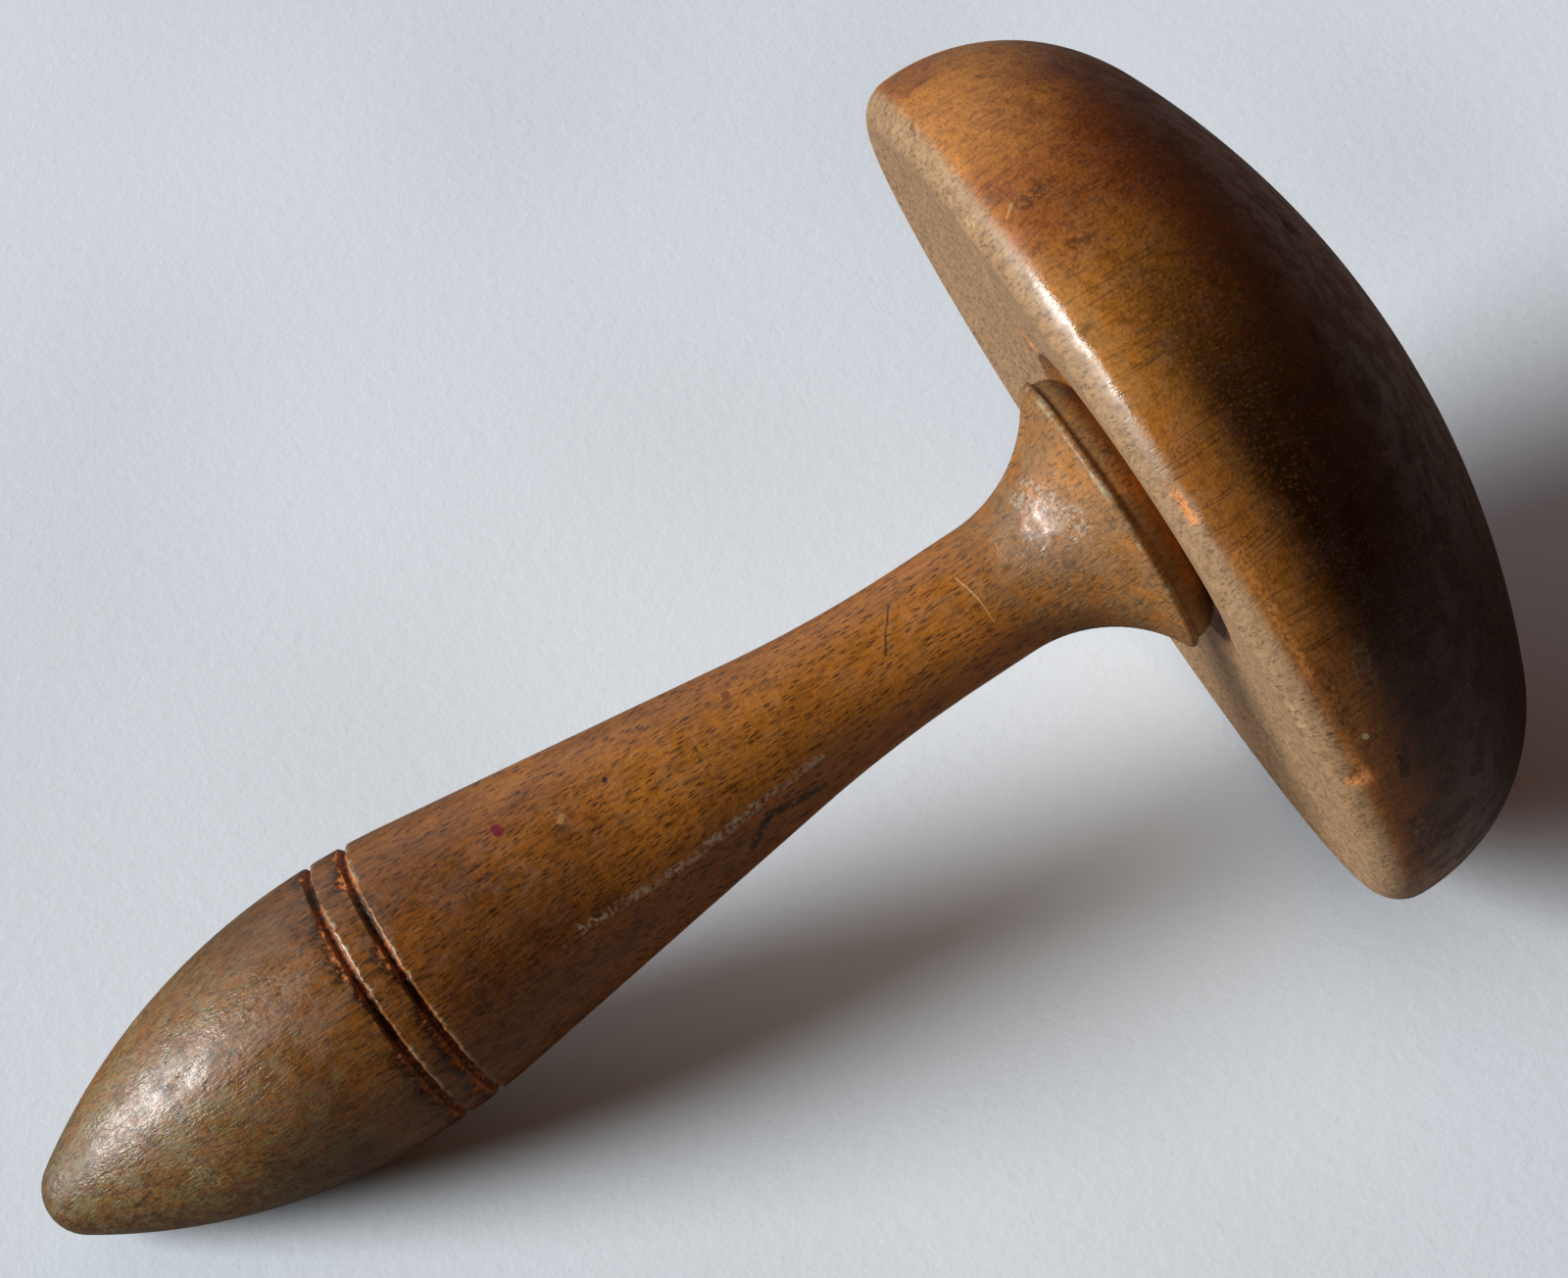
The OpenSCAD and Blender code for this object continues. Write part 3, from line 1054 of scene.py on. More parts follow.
class NodeSheet:
    """A material's node tree, with short ways to draw patterns in millimetres."""

    stroke_edge = (0.62, 0.34)
    stroke_depth = (4.0, 3.0)
    flattened = 0.9

    def __init__(self, name: str) -> None:
        """Start an empty material.

        Args:
            name: The material's name.
        """
        self.material = bpy.data.materials.new(name)
        self.material.use_nodes = True
        self.tree = self.material.node_tree
        self.tree.nodes.clear()
        self.here = self.add("ShaderNodeTexCoord", output="Object")

    def add(
        self,
        kind: str,
        settings: dict[str, Any] | None = None,
        inputs: dict[str | int, Any] | list[Any] | None = None,
        output: str | int = 0,
    ) -> Socket | None:
        """Add a node to this material."""
        return add_node(self.tree, kind, settings, inputs, output)

    def frame(self, turn: Matrix, shift: Vector) -> Socket:
        """Give the place in millimetres in a turned and shifted frame.

        Args:
            turn: The frame's turn.
            shift: Its origin, in metres.

        Returns:
            The place.
        """
        return self.add("ShaderNodeMapping", {"vector_type": "TEXTURE"}, {
            "Vector": self.here, "Location": tuple(shift),
            "Rotation": tuple(turn.to_euler()), "Scale": (MM, MM, MM),
        })

    def cells(self, place: Socket, size: Cell) -> Socket:
        """Divide a place by a pattern's size, so that one unit is one cell."""
        return self.add("ShaderNodeVectorMath", DIVIDE, [place, size])

    def noise(
        self, place: Socket, size: Cell, detail: float = 2.0, rough: float = 0.5, output: str = "Fac",
    ) -> Socket:
        """Draw soft noise with a grain of a given size.

        Args:
            place: The place in millimetres.
            size: The grain's size.
            detail: How many finer layers are added.
            rough: How strong the finer layers are.
            output: The noise texture's output that is wanted.

        Returns:
            The noise.
        """
        return self.add("ShaderNodeTexNoise", None, {
            "Vector": self.cells(place, size), "Scale": 1.0, "Detail": detail, "Roughness": rough,
        }, output)

    def ribbons(self, place: Socket, across: float, along: float) -> Socket:
        """Draw ribbons that run through the wood along X, as wood rays do.

        Args:
            place: The place in the plank in millimetres, with Z along the fibre.
            across: How far apart the ribbons are across the fibre.
            along: How far apart they are along it.

        Returns:
            The distance to the nearest ribbon, in cells.
        """
        split = self.add("ShaderNodeSeparateXYZ", None, [place]).node.outputs
        flat = self.add("ShaderNodeCombineXYZ", None, [
            self.add("ShaderNodeMath", DIVIDE, [split["Y"], across]),
            self.add("ShaderNodeMath", DIVIDE, [split["Z"], along]),
        ])
        return self.add("ShaderNodeTexVoronoi", {"feature": "F1", "voronoi_dimensions": "2D"}, {
            "Vector": flat, "Scale": 1.0,
        }, "Distance")

    def cracks(self, place: Socket, size: Cell, width: float) -> Socket:
        """Draw the thin lines between cells, as varnish crazes.

        Args:
            place: The place in millimetres.
            size: The size of the cells.
            width: The lines' width, as a share of a cell.

        Returns:
            1 on the lines and 0 between them.
        """
        gap = self.add("ShaderNodeTexVoronoi", {"feature": "DISTANCE_TO_EDGE"}, {
            "Vector": self.cells(place, size), "Scale": 1.0,
        }, "Distance")
        return self.add("ShaderNodeMapRange", SOFT, [gap, width, 0.0])

    def stroke(
        self, place: Socket, start: np.ndarray, end: np.ndarray, normal: np.ndarray, width: float,
    ) -> Socket:
        """Draw a round-ended stroke from start to end, 1 in its middle and 0 outside.

        Args:
            place: The place in millimetres.
            start: Where the stroke starts.
            end: Where it ends.
            normal: The way the surface faces there, along which the stroke goes deep.
            width: Its width.

        Returns:
            The stroke's mask.
        """
        run = end - start
        run = run - self.flattened * normal * float(normal @ run)
        from_start = self.add("ShaderNodeVectorMath", SUBTRACT, [place, tuple(start)])
        rise = self.add("ShaderNodeVectorMath", DOT, [from_start, tuple(normal)], "Value")
        flat = self.add("ShaderNodeVectorMath", MULTIPLY_ADD, [
            rise, tuple(-self.flattened * normal), from_start,
        ])
        share = self.add("ShaderNodeClamp", None, [
            self.add("ShaderNodeVectorMath", DOT, [
                flat, tuple(run / max(float(run @ run), 1e-6)),
            ], "Value"),
        ])
        nearest = self.add("ShaderNodeVectorMath", {"operation": "SCALE"}, {
            0: tuple(run), "Scale": share,
        })
        gap = self.add("ShaderNodeVectorMath", {"operation": "DISTANCE"}, [flat, nearest], "Value")
        off_face = self.add("ShaderNodeMath", {"operation": "ABSOLUTE"}, [rise])
        near_face = self.add("ShaderNodeMapRange", SOFT, [off_face, *self.stroke_depth])
        outer, inner = self.stroke_edge
        drawn = self.add("ShaderNodeMapRange", SOFT, [gap, width * outer, width * inner])
        return self.add("ShaderNodeMath", MULTIPLY, [near_face, drawn])


@dataclass(frozen=True)
class TurnedBeech:
    """Turned beech, stained and varnished by hand.

    Beech has rays that show as short dark dashes along the grain on a flat-sawn side, a
    fine even fibre, and faint rings.  Stain gathers in the fibre, and the varnish gives a
    satin gloss that years of handling have rubbed uneven and filled with grime.  A cell is
    the size of a pattern's grain in millimetres.
    """

    name: str
    light: str
    middle: str
    deep: str
    dash: str
    cut: Cut
    grey_from: float
    grey_to: float
    under: str = ""
    # The soaked colour is partly a deeper stain and partly painted shade on the side turned from the
    # light.
    soak_and_shade: str = ""
    soak_and_shade_deg: float = -102.0
    soak_and_shade_from: tuple[float, float] = (6.0, 29.0)
    soak_and_shade_above: tuple[float, float] = (3.4, 8.0)
    under_from: float = 2.3
    under_to: float = 1.2
    bare: str = "#b0652b"
    grime: str = "#1d120b"
    film: str = "#4c4a22"
    flare_film: str = "#65502f"
    flare_from: float = -15.0
    flare_to: float = -8.0
    patina: str = "#78835c"
    worn: str = "#8d8268"
    deep_from: float = -30.0
    deep_to: float = -66.0
    deep_share: float = 0.55
    deep_dull: float = 0.0
    ray_gap: tuple[float, float] = (0.30, 1.75)
    ray_show: float = 0.9
    ring_gap: float = 2.9
    ring_bow: float = 0.012
    roughness: float = 0.22
    least_roughness: float = 0.12
    bump: float = 0.00004
    blotch_share: float = 0.40
    ring_share: float = 0.16
    mottle_share: float = 0.34
    under_share: float = 0.88
    film_share: float = 0.26
    patina_share: float = 0.26
    flare_share: float = 0.6
    craze_share: float = 0.6
    grime_share: float = 0.85
    wander_reach: Cell = (2.4, 2.4, 0.0)
    wander_cell: Cell = (9.0, 9.0, 30.0)
    ray_patch_cell: Cell = (2.2, 1.1, 3.0)
    hair_patch_cell: Cell = (1.5, 0.8, 2.0)
    fibre_cell: Cell = (0.26, 0.26, 2.2)
    mottle_cell: Cell = (1.0, 0.7, 1.8)
    blotch_cell: Cell = (13.0, 13.0, 18.0)
    rub_cell: Cell = (1.7, 1.7, 2.2)
    flare_cell: Cell = (3.4, 3.4, 2.2)
    flare_rub_cell: Cell = (0.9, 0.9, 0.9)
    spot_cell: Cell = (0.7, 0.6, 1.1)
    craze_cell: Cell = (0.9, 0.55, 1.6)
    craze_patch_cell: Cell = (4.0, 4.0, 4.0)
    sway_cell: Cell = (1.1, 1.1, 1.1)
    sway_reach: float = 0.3
    crumb_cell: Cell = (0.42, 0.42, 0.42)
    torn_cell: Cell = (0.30, 0.30, 0.9)
    gloss_cell: Cell = (2.4, 2.4, 2.4)
    peel_cell: Cell = (0.7, 0.7, 0.7)
    tool_cell: Cell = (0.45, 0.45, 0.45)
    worn_film_cell: Cell = (0.45, 0.45, 1.5)

    def grain_turn(self, rest: Rest, facing: Vector) -> Matrix:
        """Give the turn from the world to the plank.

        Args:
            rest: How the piece lies.
            facing: The direction, in the upright frame, that the flat-sawn side faces.

        Returns:
            A matrix with the plank's ray, ring and fibre directions as its columns.
        """
        axis = Vector((0.0, 0.0, 1.0))
        side = Vector((facing.x, facing.y, 0.0)).normalized()
        ray, fibre = (side, axis) if self.cut is Cut.ALONG else (axis, side)
        ring = fibre.cross(ray)
        plank = Matrix((ray, ring, fibre)).transposed()
        return rest.turn.to_matrix() @ plank

    def dress(self, sheet: NodeSheet, skin: Skin, view: PhotoView, marks: dict[str, Mark]) -> None:
        """Build the wood's nodes.

        Args:
            sheet: The empty material that the piece already has.
            skin: The piece's surface, on which the marks are found.
            view: The photograph's viewpoint.
            marks: Strokes and spots of colour, by where they are.
        """
        layers = WoodLayers(self, sheet, skin, view)
        layers.draw_figure()
        layers.stain_wood()
        layers.handle_film()
        layers.craze_film()
        layers.stroke_marks(marks)
        layers.show_wear()
        layers.close(layers.roughness(), layers.relief())


class WoodLayers:
    """The layers of one piece's wood and finish, each laid over the one before."""

    def __init__(self, wood: TurnedBeech, sheet: NodeSheet, skin: Skin, view: PhotoView) -> None:
        """Set up the frames that the layers are drawn in.

        Args:
            wood: The wood and its finish.
            sheet: The empty material that the piece already has.
            skin: The piece's surface, on which the marks are found.
            view: The photograph's viewpoint.
        """
        self.wood = wood
        self.sheet = sheet
        self.skin = skin
        self.view = view
        rest = skin.rest
        facing = Vector(rest.to_upright(np.array(view.location)))
        self.upright = sheet.frame(rest.turn.to_matrix(), rest.shift)
        self.plank = sheet.frame(wood.grain_turn(rest, facing), rest.shift)
        wander = sheet.noise(self.plank, wood.wander_cell, 1.0, output="Color")
        self.grain = sheet.add("ShaderNodeVectorMath", MULTIPLY_ADD, [
            wander, wood.wander_reach, self.plank,
        ])
        self.split = sheet.add("ShaderNodeSeparateXYZ", None, [self.upright]).node.outputs
        self.height = self.split["Z"]
        self.colour = linear(wood.light)

    def lay(self, share: Socket, colour: str | Socket) -> None:
        """Lay a colour over what is there.

        Args:
            share: How far it covers.
            colour: A hex colour, or the socket of one.
        """
        over = linear(colour) if isinstance(colour, str) else colour
        self.colour = self.sheet.add("ShaderNodeMix", COLOURS, {0: share, 6: self.colour, 7: over}, 2)

    def draw_figure(self) -> None:
        """Draw the rays, the fibre, the mottle and the rings."""
        wood, sheet, add = self.wood, self.sheet, self.sheet.add
        across, along = wood.ray_gap
        broad = sheet.ribbons(self.grain, across, along)
        self.rays = add("ShaderNodeMapRange", SOFT, [broad, 0.25, 0.12])
        patch = sheet.noise(self.plank, wood.ray_patch_cell)
        patch = add("ShaderNodeMapRange", SOFT, [patch, 0.30, 0.60])
        strength = add("ShaderNodeMath", MULTIPLY_ADD, [patch, 0.76, 0.13])
        dashes = add("ShaderNodeMath", MULTIPLY, [self.rays, strength])
        dashes = add("ShaderNodeMath", MULTIPLY, [dashes, wood.ray_show])
        fine = sheet.ribbons(self.grain, across * 0.47, along * 0.43)
        hair = add("ShaderNodeMapRange", SOFT, [fine, 0.26, 0.10])
        patch = sheet.noise(self.plank, wood.hair_patch_cell)
        patch = add("ShaderNodeMapRange", SOFT, [patch, 0.42, 0.62, 0.0, 0.55 * wood.ray_show])
        hair = add("ShaderNodeMath", MULTIPLY, [hair, patch])
        self.dashes = add("ShaderNodeMath", MAXIMUM, [dashes, hair])
        self.fibre = sheet.noise(self.grain, wood.fibre_cell, 3.0, 0.62)
        mottle = sheet.noise(self.grain, wood.mottle_cell, 3.0, 0.6)
        self.mottle = add("ShaderNodeMapRange", SOFT, [mottle, 0.42, 0.72])
        plain = add("ShaderNodeSeparateXYZ", None, [self.grain]).node.outputs
        squared = add("ShaderNodeMath", MULTIPLY, [plain["Y"], plain["Y"]])
        bow = add("ShaderNodeMath", MULTIPLY_ADD, [squared, wood.ring_bow, plain["X"]])
        ring = add("ShaderNodeMath", DIVIDE, [bow, wood.ring_gap])
        band = add("ShaderNodeMath", {"operation": "FRACT"}, [ring])
        self.rings = add("ShaderNodeMapRange", SOFT, [band, 0.55, 0.95])

    def stain_wood(self) -> None:
        """Stain the wood, deeper where the stain has settled, and darken the figure."""
        wood, sheet, add = self.wood, self.sheet, self.sheet.add
        blotch = sheet.noise(self.upright, wood.blotch_cell, 3.0, 0.55)
        blotch = add("ShaderNodeMapRange", SOFT, [blotch, 0.36, 0.66])
        self.settled = add("ShaderNodeMapRange", SOFT, [
            self.height, wood.deep_from, wood.deep_to, 0.0, wood.deep_share,
        ])
        depth = add("ShaderNodeMath", MULTIPLY_ADD, [blotch, wood.blotch_share, self.settled])
        depth = add("ShaderNodeMath", {"operation": "MINIMUM"}, [depth, 1.0])
        self.lay(add("ShaderNodeMapRange", SOFT, [depth, 0.0, 0.62]), wood.middle)
        self.lay(add("ShaderNodeMapRange", SOFT, [depth, 0.42, 1.0]), wood.deep)
        if wood.soak_and_shade:
            self.soak_and_shade_side()
        self.lay(add("ShaderNodeMath", MULTIPLY, [self.rings, wood.ring_share]), wood.deep)
        self.lay(add("ShaderNodeMapRange", SOFT, [self.fibre, 0.48, 0.24, 0.0, 0.30]), wood.bare)
        if wood.under:
            self.below = add("ShaderNodeMapRange", SOFT, [
                self.height, wood.under_from, wood.under_to, 0.0, wood.under_share,
            ])
            self.lay(self.below, wood.under)
        self.lay(add("ShaderNodeMapRange", SOFT, [self.fibre, 0.48, 0.72, 0.0, 0.5]), wood.dash)
        self.lay(add("ShaderNodeMath", MULTIPLY, [self.mottle, wood.mottle_share]), wood.dash)
        self.lay(self.dashes, wood.dash)

    def soak_and_shade_side(self) -> None:
        """Darken one side, partly as stain it has soaked up and partly as painted shade on the side
        turned from the light, less so at the rim.
        """
        wood, add = self.wood, self.sheet.add
        toward = math.radians(wood.soak_and_shade_deg)
        side = add("ShaderNodeVectorMath", DOT, [
            self.upright, (math.cos(toward), math.sin(toward), 0.0),
        ], "Value")
        above_rim = add("ShaderNodeMapRange", SOFT, [self.height, *wood.soak_and_shade_above])
        above_rim = add("ShaderNodeMath", MULTIPLY_ADD, [above_rim, 0.72, 0.22])
        side = add("ShaderNodeMapRange", SOFT, [side, *wood.soak_and_shade_from])
        self.lay(add("ShaderNodeMath", MULTIPLY, [side, above_rim]), wood.soak_and_shade)

    def handle_film(self) -> None:
        """Lay the greyish film that handling leaves, and its darker spots."""
        wood, sheet, add = self.wood, self.sheet, self.sheet.add
        self.handled = add("ShaderNodeMapRange", SOFT, [self.height, wood.grey_from, wood.grey_to])
        rub = sheet.noise(self.upright, wood.rub_cell, 6.0, 0.74)
        rub = add("ShaderNodeMapRange", SOFT, [rub, 0.44, 0.62])
        self.lay(add("ShaderNodeMath", MULTIPLY, [self.handled, wood.film_share]), wood.film)
        rub = add("ShaderNodeMath", MULTIPLY, [rub, wood.patina_share])
        self.lay(add("ShaderNodeMath", MULTIPLY, [self.handled, rub]), wood.patina)
        if wood.cut is Cut.ALONG:
            self.film_flare()
        spots = sheet.noise(self.grain, wood.spot_cell, 5.0, 0.75)
        spots = add("ShaderNodeMapRange", SOFT, [spots, 0.50, 0.64, 0.0, 0.55])
        self.lay(add("ShaderNodeMath", MULTIPLY, [self.handled, spots]), wood.dash)

    def film_flare(self) -> None:
        """Lay the film on the flare below the collar, and rub it in places."""
        wood, sheet, add = self.wood, self.sheet, self.sheet.add
        flare = add("ShaderNodeMapRange", SOFT, [self.height, wood.flare_from, wood.flare_to])
        patch = sheet.noise(self.upright, wood.flare_cell, 4.0, 0.6)
        patch = add("ShaderNodeMapRange", SOFT, [patch, 0.25, 0.62])
        flare = add("ShaderNodeMath", MULTIPLY, [flare, patch])
        self.lay(add("ShaderNodeMath", MULTIPLY, [flare, wood.flare_share]), wood.flare_film)
        handled = add("ShaderNodeMath", MULTIPLY, [flare, 0.9])
        self.handled = add("ShaderNodeMath", MAXIMUM, [self.handled, handled])
        rubbed = sheet.noise(self.upright, wood.flare_rub_cell, 3.0, 0.7)
        rubbed = add("ShaderNodeMapRange", SOFT, [rubbed, 0.34, 0.52])
        self.rubbed = add("ShaderNodeMath", MULTIPLY, [flare, rubbed])

    def craze_film(self) -> None:
        """Draw the fine dark cracks in the handled varnish."""
        wood, sheet, add = self.wood, self.sheet, self.sheet.add
        patch = sheet.noise(self.upright, wood.craze_patch_cell)
        patch = add("ShaderNodeMapRange", SOFT, [patch, 0.45, 0.6])
        cracks = sheet.cracks(self.grain, wood.craze_cell, 0.045)
        handled = add("ShaderNodeMath", MULTIPLY, [self.handled, patch])
        self.crazed = add("ShaderNodeMath", MULTIPLY, [cracks, handled])
        self.lay(add("ShaderNodeMath", MULTIPLY, [self.crazed, wood.craze_share]), wood.grime)

    def stroke_marks(self, marks: dict[str, Mark]) -> None:
        """Draw the strokes and spots of colour with a slightly swaying edge.

        Args:
            marks: The marks, by where they are.
        """
        sheet, skin, add = self.sheet, self.skin, self.sheet.add
        sway = sheet.noise(self.upright, self.wood.sway_cell, 3.0, output="Color")
        reach = self.wood.sway_reach
        drawn = add("ShaderNodeVectorMath", MULTIPLY_ADD, [sway, (reach,) * 3, self.upright])
        drawn = add("ShaderNodeVectorMath", SUBTRACT, [drawn, (reach / 2,) * 3])
        self.crumbs = sheet.noise(self.upright, self.wood.crumb_cell, 2.0, 0.6)
        self.smoothed = 0.0
        for mark in marks.values():
            start = skin.find(self.view, mark.start)
            end = skin.find(self.view, mark.end)
            mask = sheet.stroke(drawn, start, end, skin.facing((start + end) / 2), mark.width)
            if mark.shine:
                self.smoothed = add("ShaderNodeMath", MULTIPLY_ADD, [mask, mark.shine, self.smoothed])
            if mark.broken:
                crumbs = add("ShaderNodeMapRange", SOFT, [
                    self.crumbs, 0.36 + 0.14 * mark.broken, 0.44 + 0.20 * mark.broken,
                ])
                mask = add("ShaderNodeMath", MULTIPLY, [mask, crumbs])
            self.lay(add("ShaderNodeMath", MULTIPLY, [mask, mark.strength]), mark.colour)

    def show_wear(self) -> None:
        """Lay the torn bare wood, the grime and the worn arrises where they are painted."""
        wood, sheet, add = self.wood, self.sheet, self.sheet.add
        bare, grime, worn = (
            add("ShaderNodeAttribute", {"attribute_name": name}, None, "Fac")
            for name in ("bare", "grime", "worn")
        )
        self.bare = bare
        self.torn = sheet.noise(self.plank, wood.torn_cell, 3.0, 0.7)
        torn = add("ShaderNodeMapRange", SOFT, [self.torn, 0.42, 0.70])
        tone = add("ShaderNodeMix", COLOURS, {0: torn, 6: linear(wood.bare), 7: linear(wood.deep)}, 2)
        self.lay(bare, tone)
        self.lay(add("ShaderNodeMath", MULTIPLY, [grime, wood.grime_share]), wood.grime)
        crumbs = add("ShaderNodeMapRange", SOFT, [self.crumbs, 0.32, 0.52])
        self.lay(add("ShaderNodeMath", MULTIPLY, [worn, crumbs]), wood.worn)

    def roughness(self) -> Socket:
        """Work out how rough the surface is.

        Returns:
            The roughness.
        """
        wood, sheet, add = self.wood, self.sheet, self.sheet.add
        gloss = sheet.noise(self.upright, wood.gloss_cell, 6.0, 0.72)
        gloss = add("ShaderNodeMapRange", SOFT, [gloss, 0.42, 0.60])
        rough = add("ShaderNodeMath", MULTIPLY_ADD, [gloss, 0.27, wood.roughness])
        rough = add("ShaderNodeMath", MULTIPLY_ADD, [self.settled, wood.deep_dull, rough])
        rough = add("ShaderNodeMath", MULTIPLY_ADD, [self.handled, 0.09, rough])
        if wood.cut is Cut.ALONG:
            rough = add("ShaderNodeMath", MULTIPLY_ADD, [self.rubbed, 0.30, rough])
        rough = add("ShaderNodeMath", MULTIPLY_ADD, [self.bare, 0.35, rough])
        if wood.under:
            rough = add("ShaderNodeMath", MULTIPLY_ADD, [self.below, 0.2, rough])
        rough = add("ShaderNodeMath", MULTIPLY_ADD, [self.smoothed, -1.0, rough])
        return add("ShaderNodeMath", MAXIMUM, [rough, wood.least_roughness])

    def relief(self) -> Socket:
        """Work out the fine relief of fibre, varnish, tool lines and torn wood.

        Returns:
            The surface's height, in shares of the bump.
        """
        wood, sheet, add = self.wood, self.sheet, self.sheet.add
        peel = sheet.noise(self.upright, wood.peel_cell, 4.0, 0.66)
        peel = add("ShaderNodeMath", MULTIPLY, [peel, 1.5])
        relief = add("ShaderNodeMath", MULTIPLY_ADD, [self.fibre, 0.8, peel])
        relief = add("ShaderNodeMath", MULTIPLY_ADD, [self.crazed, -0.35, relief])
        film = sheet.noise(self.grain, wood.worn_film_cell, 3.0, 0.7)
        film = add("ShaderNodeMath", MULTIPLY, [film, self.handled])
        relief = add("ShaderNodeMath", MULTIPLY_ADD, [film, 2.4, relief])
        relief = add("ShaderNodeMath", MULTIPLY_ADD, [self.tool_lines(), 0.35, relief])
        flatter = add("ShaderNodeMath", MULTIPLY_ADD, [self.settled, -1.6 * wood.deep_dull, 1.0])
        relief = add("ShaderNodeMath", MULTIPLY, [relief, flatter])
        relief = add("ShaderNodeMath", MULTIPLY_ADD, [self.rays, -0.3, relief])
        torn = add("ShaderNodeMath", MULTIPLY, [self.torn, self.bare])
        return add("ShaderNodeMath", MULTIPLY_ADD, [torn, 2.5, relief])

    def tool_lines(self) -> Socket:
        """Draw the rings that the turning tool leaves.

        Returns:
            The rings' noise.
        """
        add = self.sheet.add
        squared = add("ShaderNodeMath", MULTIPLY, [self.split["Y"], self.split["Y"]])
        squared = add("ShaderNodeMath", MULTIPLY_ADD, [self.split["X"], self.split["X"], squared])
        radius = add("ShaderNodeMath", {"operation": "SQRT"}, [squared])
        place = add("ShaderNodeCombineXYZ", None, [radius, self.height])
        return self.sheet.noise(place, self.wood.tool_cell)

    def close(self, roughness: Socket, relief: Socket) -> None:
        """Bring the layers together in the varnished surface.

        Args:
            roughness: The surface's roughness.
            relief: Its fine relief.
        """
        add = self.sheet.add
        bump = add("ShaderNodeBump", None, {
            "Strength": 1.0, "Distance": self.wood.bump, "Height": relief,
        })
        shader = add("ShaderNodeBsdfPrincipled", None, {
            "Base Color": self.colour, "Roughness": roughness, "Normal": bump,
            "IOR": 1.5, "Coat Weight": 0.08, "Coat Roughness": 0.16,
        })
        add("ShaderNodeOutputMaterial", None, {"Surface": shader})


@dataclass(frozen=True)
class Paper:
    """Thick bluish-white paper, felted, so it is matt with a faint soft tooth.

    The sheet that the camera sees is pale.  It sends back less light than it shows, as
    a sheet does that ends a little outside the picture, on a darker table.
    """

    name: str = "felted paper"
    colour: str = "#dde7ef"
    sent_back: str = "#a89c90"
    mirrored: str = "#7c736c"
    felt_cell: Cell = (1.5, 1.5, 1.5)
    tooth_cell: Cell = (0.45, 0.45, 0.45)
    wave_cell: Cell = (75.0, 75.0, 75.0)
    wave_height: float = 75.0
    bump: float = 0.000028

    def material(self) -> bpy.types.Material:
        """Build the paper's nodes.

        Returns:
            The material.
        """
        sheet = NodeSheet(self.name)
        place = sheet.cells(sheet.here, (MM, MM, MM))
        felt = sheet.noise(place, self.felt_cell, 2.0, 0.55)
        tooth = sheet.noise(place, self.tooth_cell, 1.0, 0.5)
        wave = sheet.noise(place, self.wave_cell, 1.0, 0.4)
        relief = sheet.add("ShaderNodeMath", MULTIPLY_ADD, [tooth, 0.35, felt])
        relief = sheet.add("ShaderNodeMath", MULTIPLY_ADD, [wave, self.wave_height, relief])
        bump = sheet.add("ShaderNodeBump", None, {
            "Strength": 1.0, "Distance": self.bump, "Height": relief,
        })
        path = sheet.add("ShaderNodeLightPath").node.outputs
        unseen = sheet.add("ShaderNodeMix", COLOURS, {
            0: path["Is Glossy Ray"], 6: linear(self.sent_back), 7: linear(self.mirrored),
        }, 2)
        shown = sheet.add("ShaderNodeMix", COLOURS, {
            0: path["Is Camera Ray"], 6: unseen, 7: linear(self.colour),
        }, 2)
        shader = sheet.add("ShaderNodeBsdfPrincipled", None, {
            "Base Color": shown, "Roughness": 0.9, "Specular IOR Level": 0.2, "Normal": bump,
        })
        sheet.add("ShaderNodeOutputMaterial", None, {"Surface": shader})
        return sheet.material


# Floor, light and background

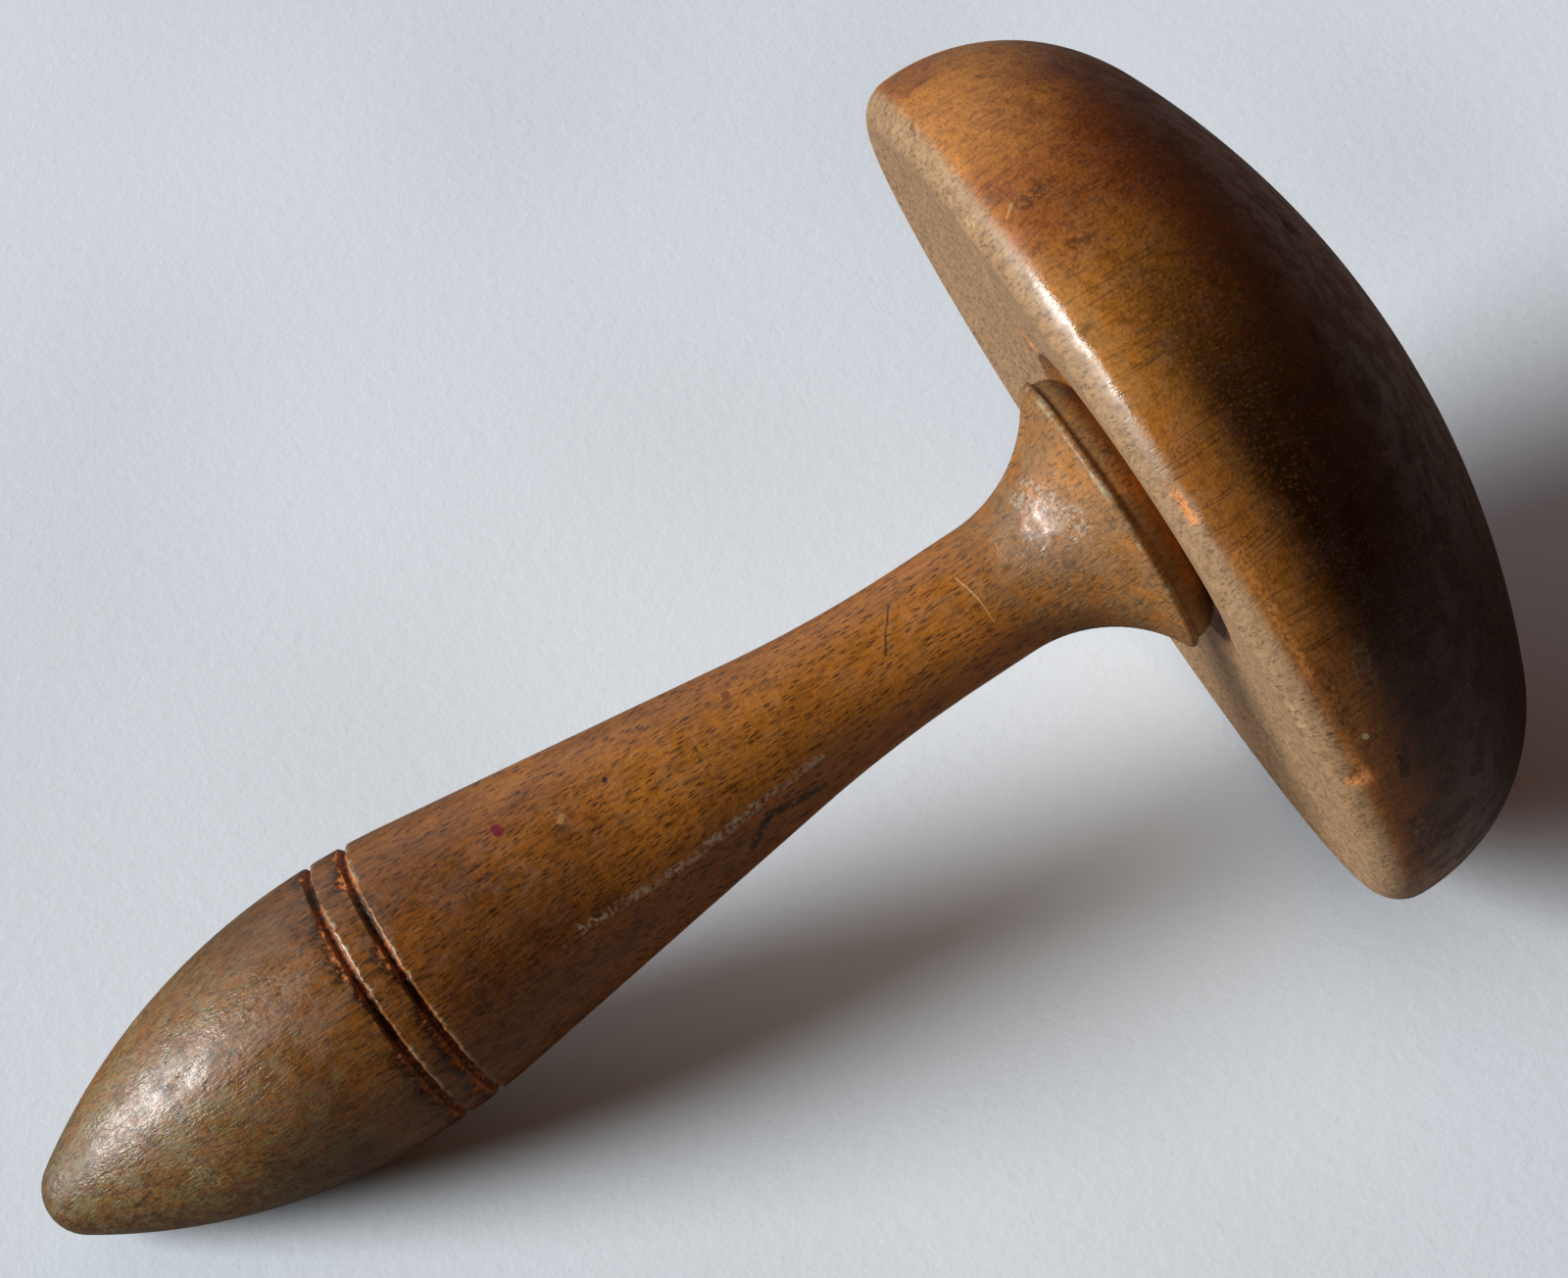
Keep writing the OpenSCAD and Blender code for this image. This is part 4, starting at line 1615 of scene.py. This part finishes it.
@dataclass
class Studio:
    """The floor, the soft window light and the pale surroundings."""

    half_floor: float = 4.0
    window_azimuth_deg: float = 170.3
    window_elevation_deg: float = 22.0
    window_angle_deg: float = 31.0
    window_power: float = 5.9
    background: str = "#d3dbe2"
    room_tint: str = "#ab6c3e"
    sky_tint: str = "#dfe6f0"
    sky_azimuth_deg: float = 122.0
    sky_elevation_deg: float = 14.0
    ambient: float = 0.05
    sky: float = 0.75
    overhead: float = 0.025
    wall_azimuth_deg: float = 28.0
    wall_elevation_deg: float = 14.0
    wall: float = 0.38

    @staticmethod
    def way(azimuth_deg: float, elevation_deg: float) -> Vector:
        """Give a direction.

        Args:
            azimuth_deg: Its angle about the vertical, from the X axis.
            elevation_deg: Its angle above the table.

        Returns:
            A vector of length 1.
        """
        azimuth = math.radians(azimuth_deg)
        elevation = math.radians(elevation_deg)
        return Vector((
            math.cos(elevation) * math.cos(azimuth),
            math.cos(elevation) * math.sin(azimuth),
            math.sin(elevation),
        ))

    def floor(self, finish: bpy.types.Material) -> bpy.types.Object:
        """Lay the floor.

        Args:
            finish: The floor's material.

        Returns:
            The floor object.
        """
        h = self.half_floor
        mesh = bpy.data.meshes.new("floor")
        mesh.from_pydata([(-h, -h, 0), (h, -h, 0), (h, h, 0), (-h, h, 0)], [], [(0, 1, 2, 3)])
        mesh.materials.append(finish)
        floor = bpy.data.objects.new("floor", mesh)
        bpy.context.scene.collection.objects.link(floor)
        return floor

    def window(self) -> None:
        """Hang the window light.

        A sun lamp as wide as a window gives soft shadows and lights the whole floor alike.
        """
        way = self.way(self.window_azimuth_deg, self.window_elevation_deg)
        lamp = bpy.data.lights.new("window", "SUN")
        lamp.angle = math.radians(self.window_angle_deg)
        lamp.energy = self.window_power
        light = bpy.data.objects.new("window", lamp)
        light.matrix_world = way.to_track_quat("Z", "Y").to_matrix().to_4x4()
        bpy.context.scene.collection.objects.link(light)

    def surroundings(self) -> None:
        """Give the world its even light and the pale colour that the camera sees."""
        scene = bpy.context.scene
        world = bpy.data.worlds.new("surroundings")
        scene.world = world
        world.use_nodes = True
        tree = world.node_tree
        tree.nodes.clear()
        way = add_node(tree, "ShaderNodeTexCoord", output="Generated")
        toward_sky = tuple(self.way(self.sky_azimuth_deg, self.sky_elevation_deg))
        side = add_node(tree, "ShaderNodeVectorMath", DOT, [way, toward_sky], "Value")
        near_sky = add_node(tree, "ShaderNodeMapRange", SOFT, [side, 0.4, 1.0])
        tint = add_node(tree, "ShaderNodeMix", COLOURS, {
            0: near_sky, 6: linear(self.room_tint), 7: linear(self.sky_tint),
        }, 2)
        level = add_node(tree, "ShaderNodeMapRange", None, {
            "Value": near_sky, "To Min": self.ambient, "To Max": self.sky,
        })
        height = add_node(tree, "ShaderNodeSeparateXYZ", None, [way], "Z")
        above = add_node(tree, "ShaderNodeMapRange", SOFT, [height, 0.35, 1.0, 0.0, self.overhead])
        level = add_node(tree, "ShaderNodeMath", ADD, [level, above])
        toward_wall = tuple(self.way(self.wall_azimuth_deg, self.wall_elevation_deg))
        across = add_node(tree, "ShaderNodeVectorMath", DOT, [way, toward_wall], "Value")
        wall = add_node(tree, "ShaderNodeMapRange", SOFT, [across, 0.35, 1.0, 0.0, self.wall])
        level = add_node(tree, "ShaderNodeMath", ADD, [level, wall])
        lit = add_node(tree, "ShaderNodeBackground", None, {"Color": tint, "Strength": level})
        seen = add_node(tree, "ShaderNodeBackground", None, {
            "Color": linear(self.background), "Strength": 1.0,
        })
        by_camera = add_node(tree, "ShaderNodeLightPath", output="Is Camera Ray")
        mixed = add_node(tree, "ShaderNodeMixShader", None, [by_camera, lit, seen])
        add_node(tree, "ShaderNodeOutputWorld", None, {"Surface": mixed})
        scene.view_settings.view_transform = "Standard"


def main() -> None:
    """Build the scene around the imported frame."""
    logging.basicConfig(level=logging.INFO, format="%(name)s: %(message)s")
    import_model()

    handle_sizes = HandleSizes()
    cap_sizes = CapSizes()
    rest = Rest(handle_sizes, cap_sizes)

    view = PhotoView()
    view.place(rest)
    view.create()
    LOG.info("camera at %s", tuple(round(v, 4) for v in view.location))

    studio = Studio()
    studio.floor(Paper().material())
    studio.window()
    studio.surroundings()

    handle_wood = TurnedBeech(
        "beech, stained and varnished, handle", "#a76a27", "#84501e", "#593519", "#1e1009",
        Cut.ALONG, grey_from=-62.0, grey_to=-88.0,
    )
    cap_wood = TurnedBeech(
        "beech, stained and varnished, cap", "#a86b28", "#7a3d15", "#5e2a13", "#1e0e07",
        # The cap's soaked colour is partly stain and partly painted shade on one side.
        Cut.ACROSS, grey_from=-90.0, grey_to=-95.0, roughness=0.24, under="#8f7556", soak_and_shade="#1a0b04",
        deep_from=7.5, deep_to=20.5, deep_share=0.76, deep_dull=0.34,
        ray_gap=(0.42, 1.1), ray_show=0.42, bump=0.000026, bare="#bd7c46",
    )

    lathe = Lathe(rest, Thread())
    handle = Handle(handle_sizes).build(lathe, view, handle_wood)
    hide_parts("handle")
    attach(handle, "handle")
    LOG.info("handle: %d faces", len(handle.data.polygons))

    cap = Cap(cap_sizes, handle_sizes).build(lathe, view, cap_wood)
    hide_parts("cap")
    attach(cap, "cap")
    LOG.info("cap: %d faces", len(cap.data.polygons))


if __name__ == "__main__":
    main()
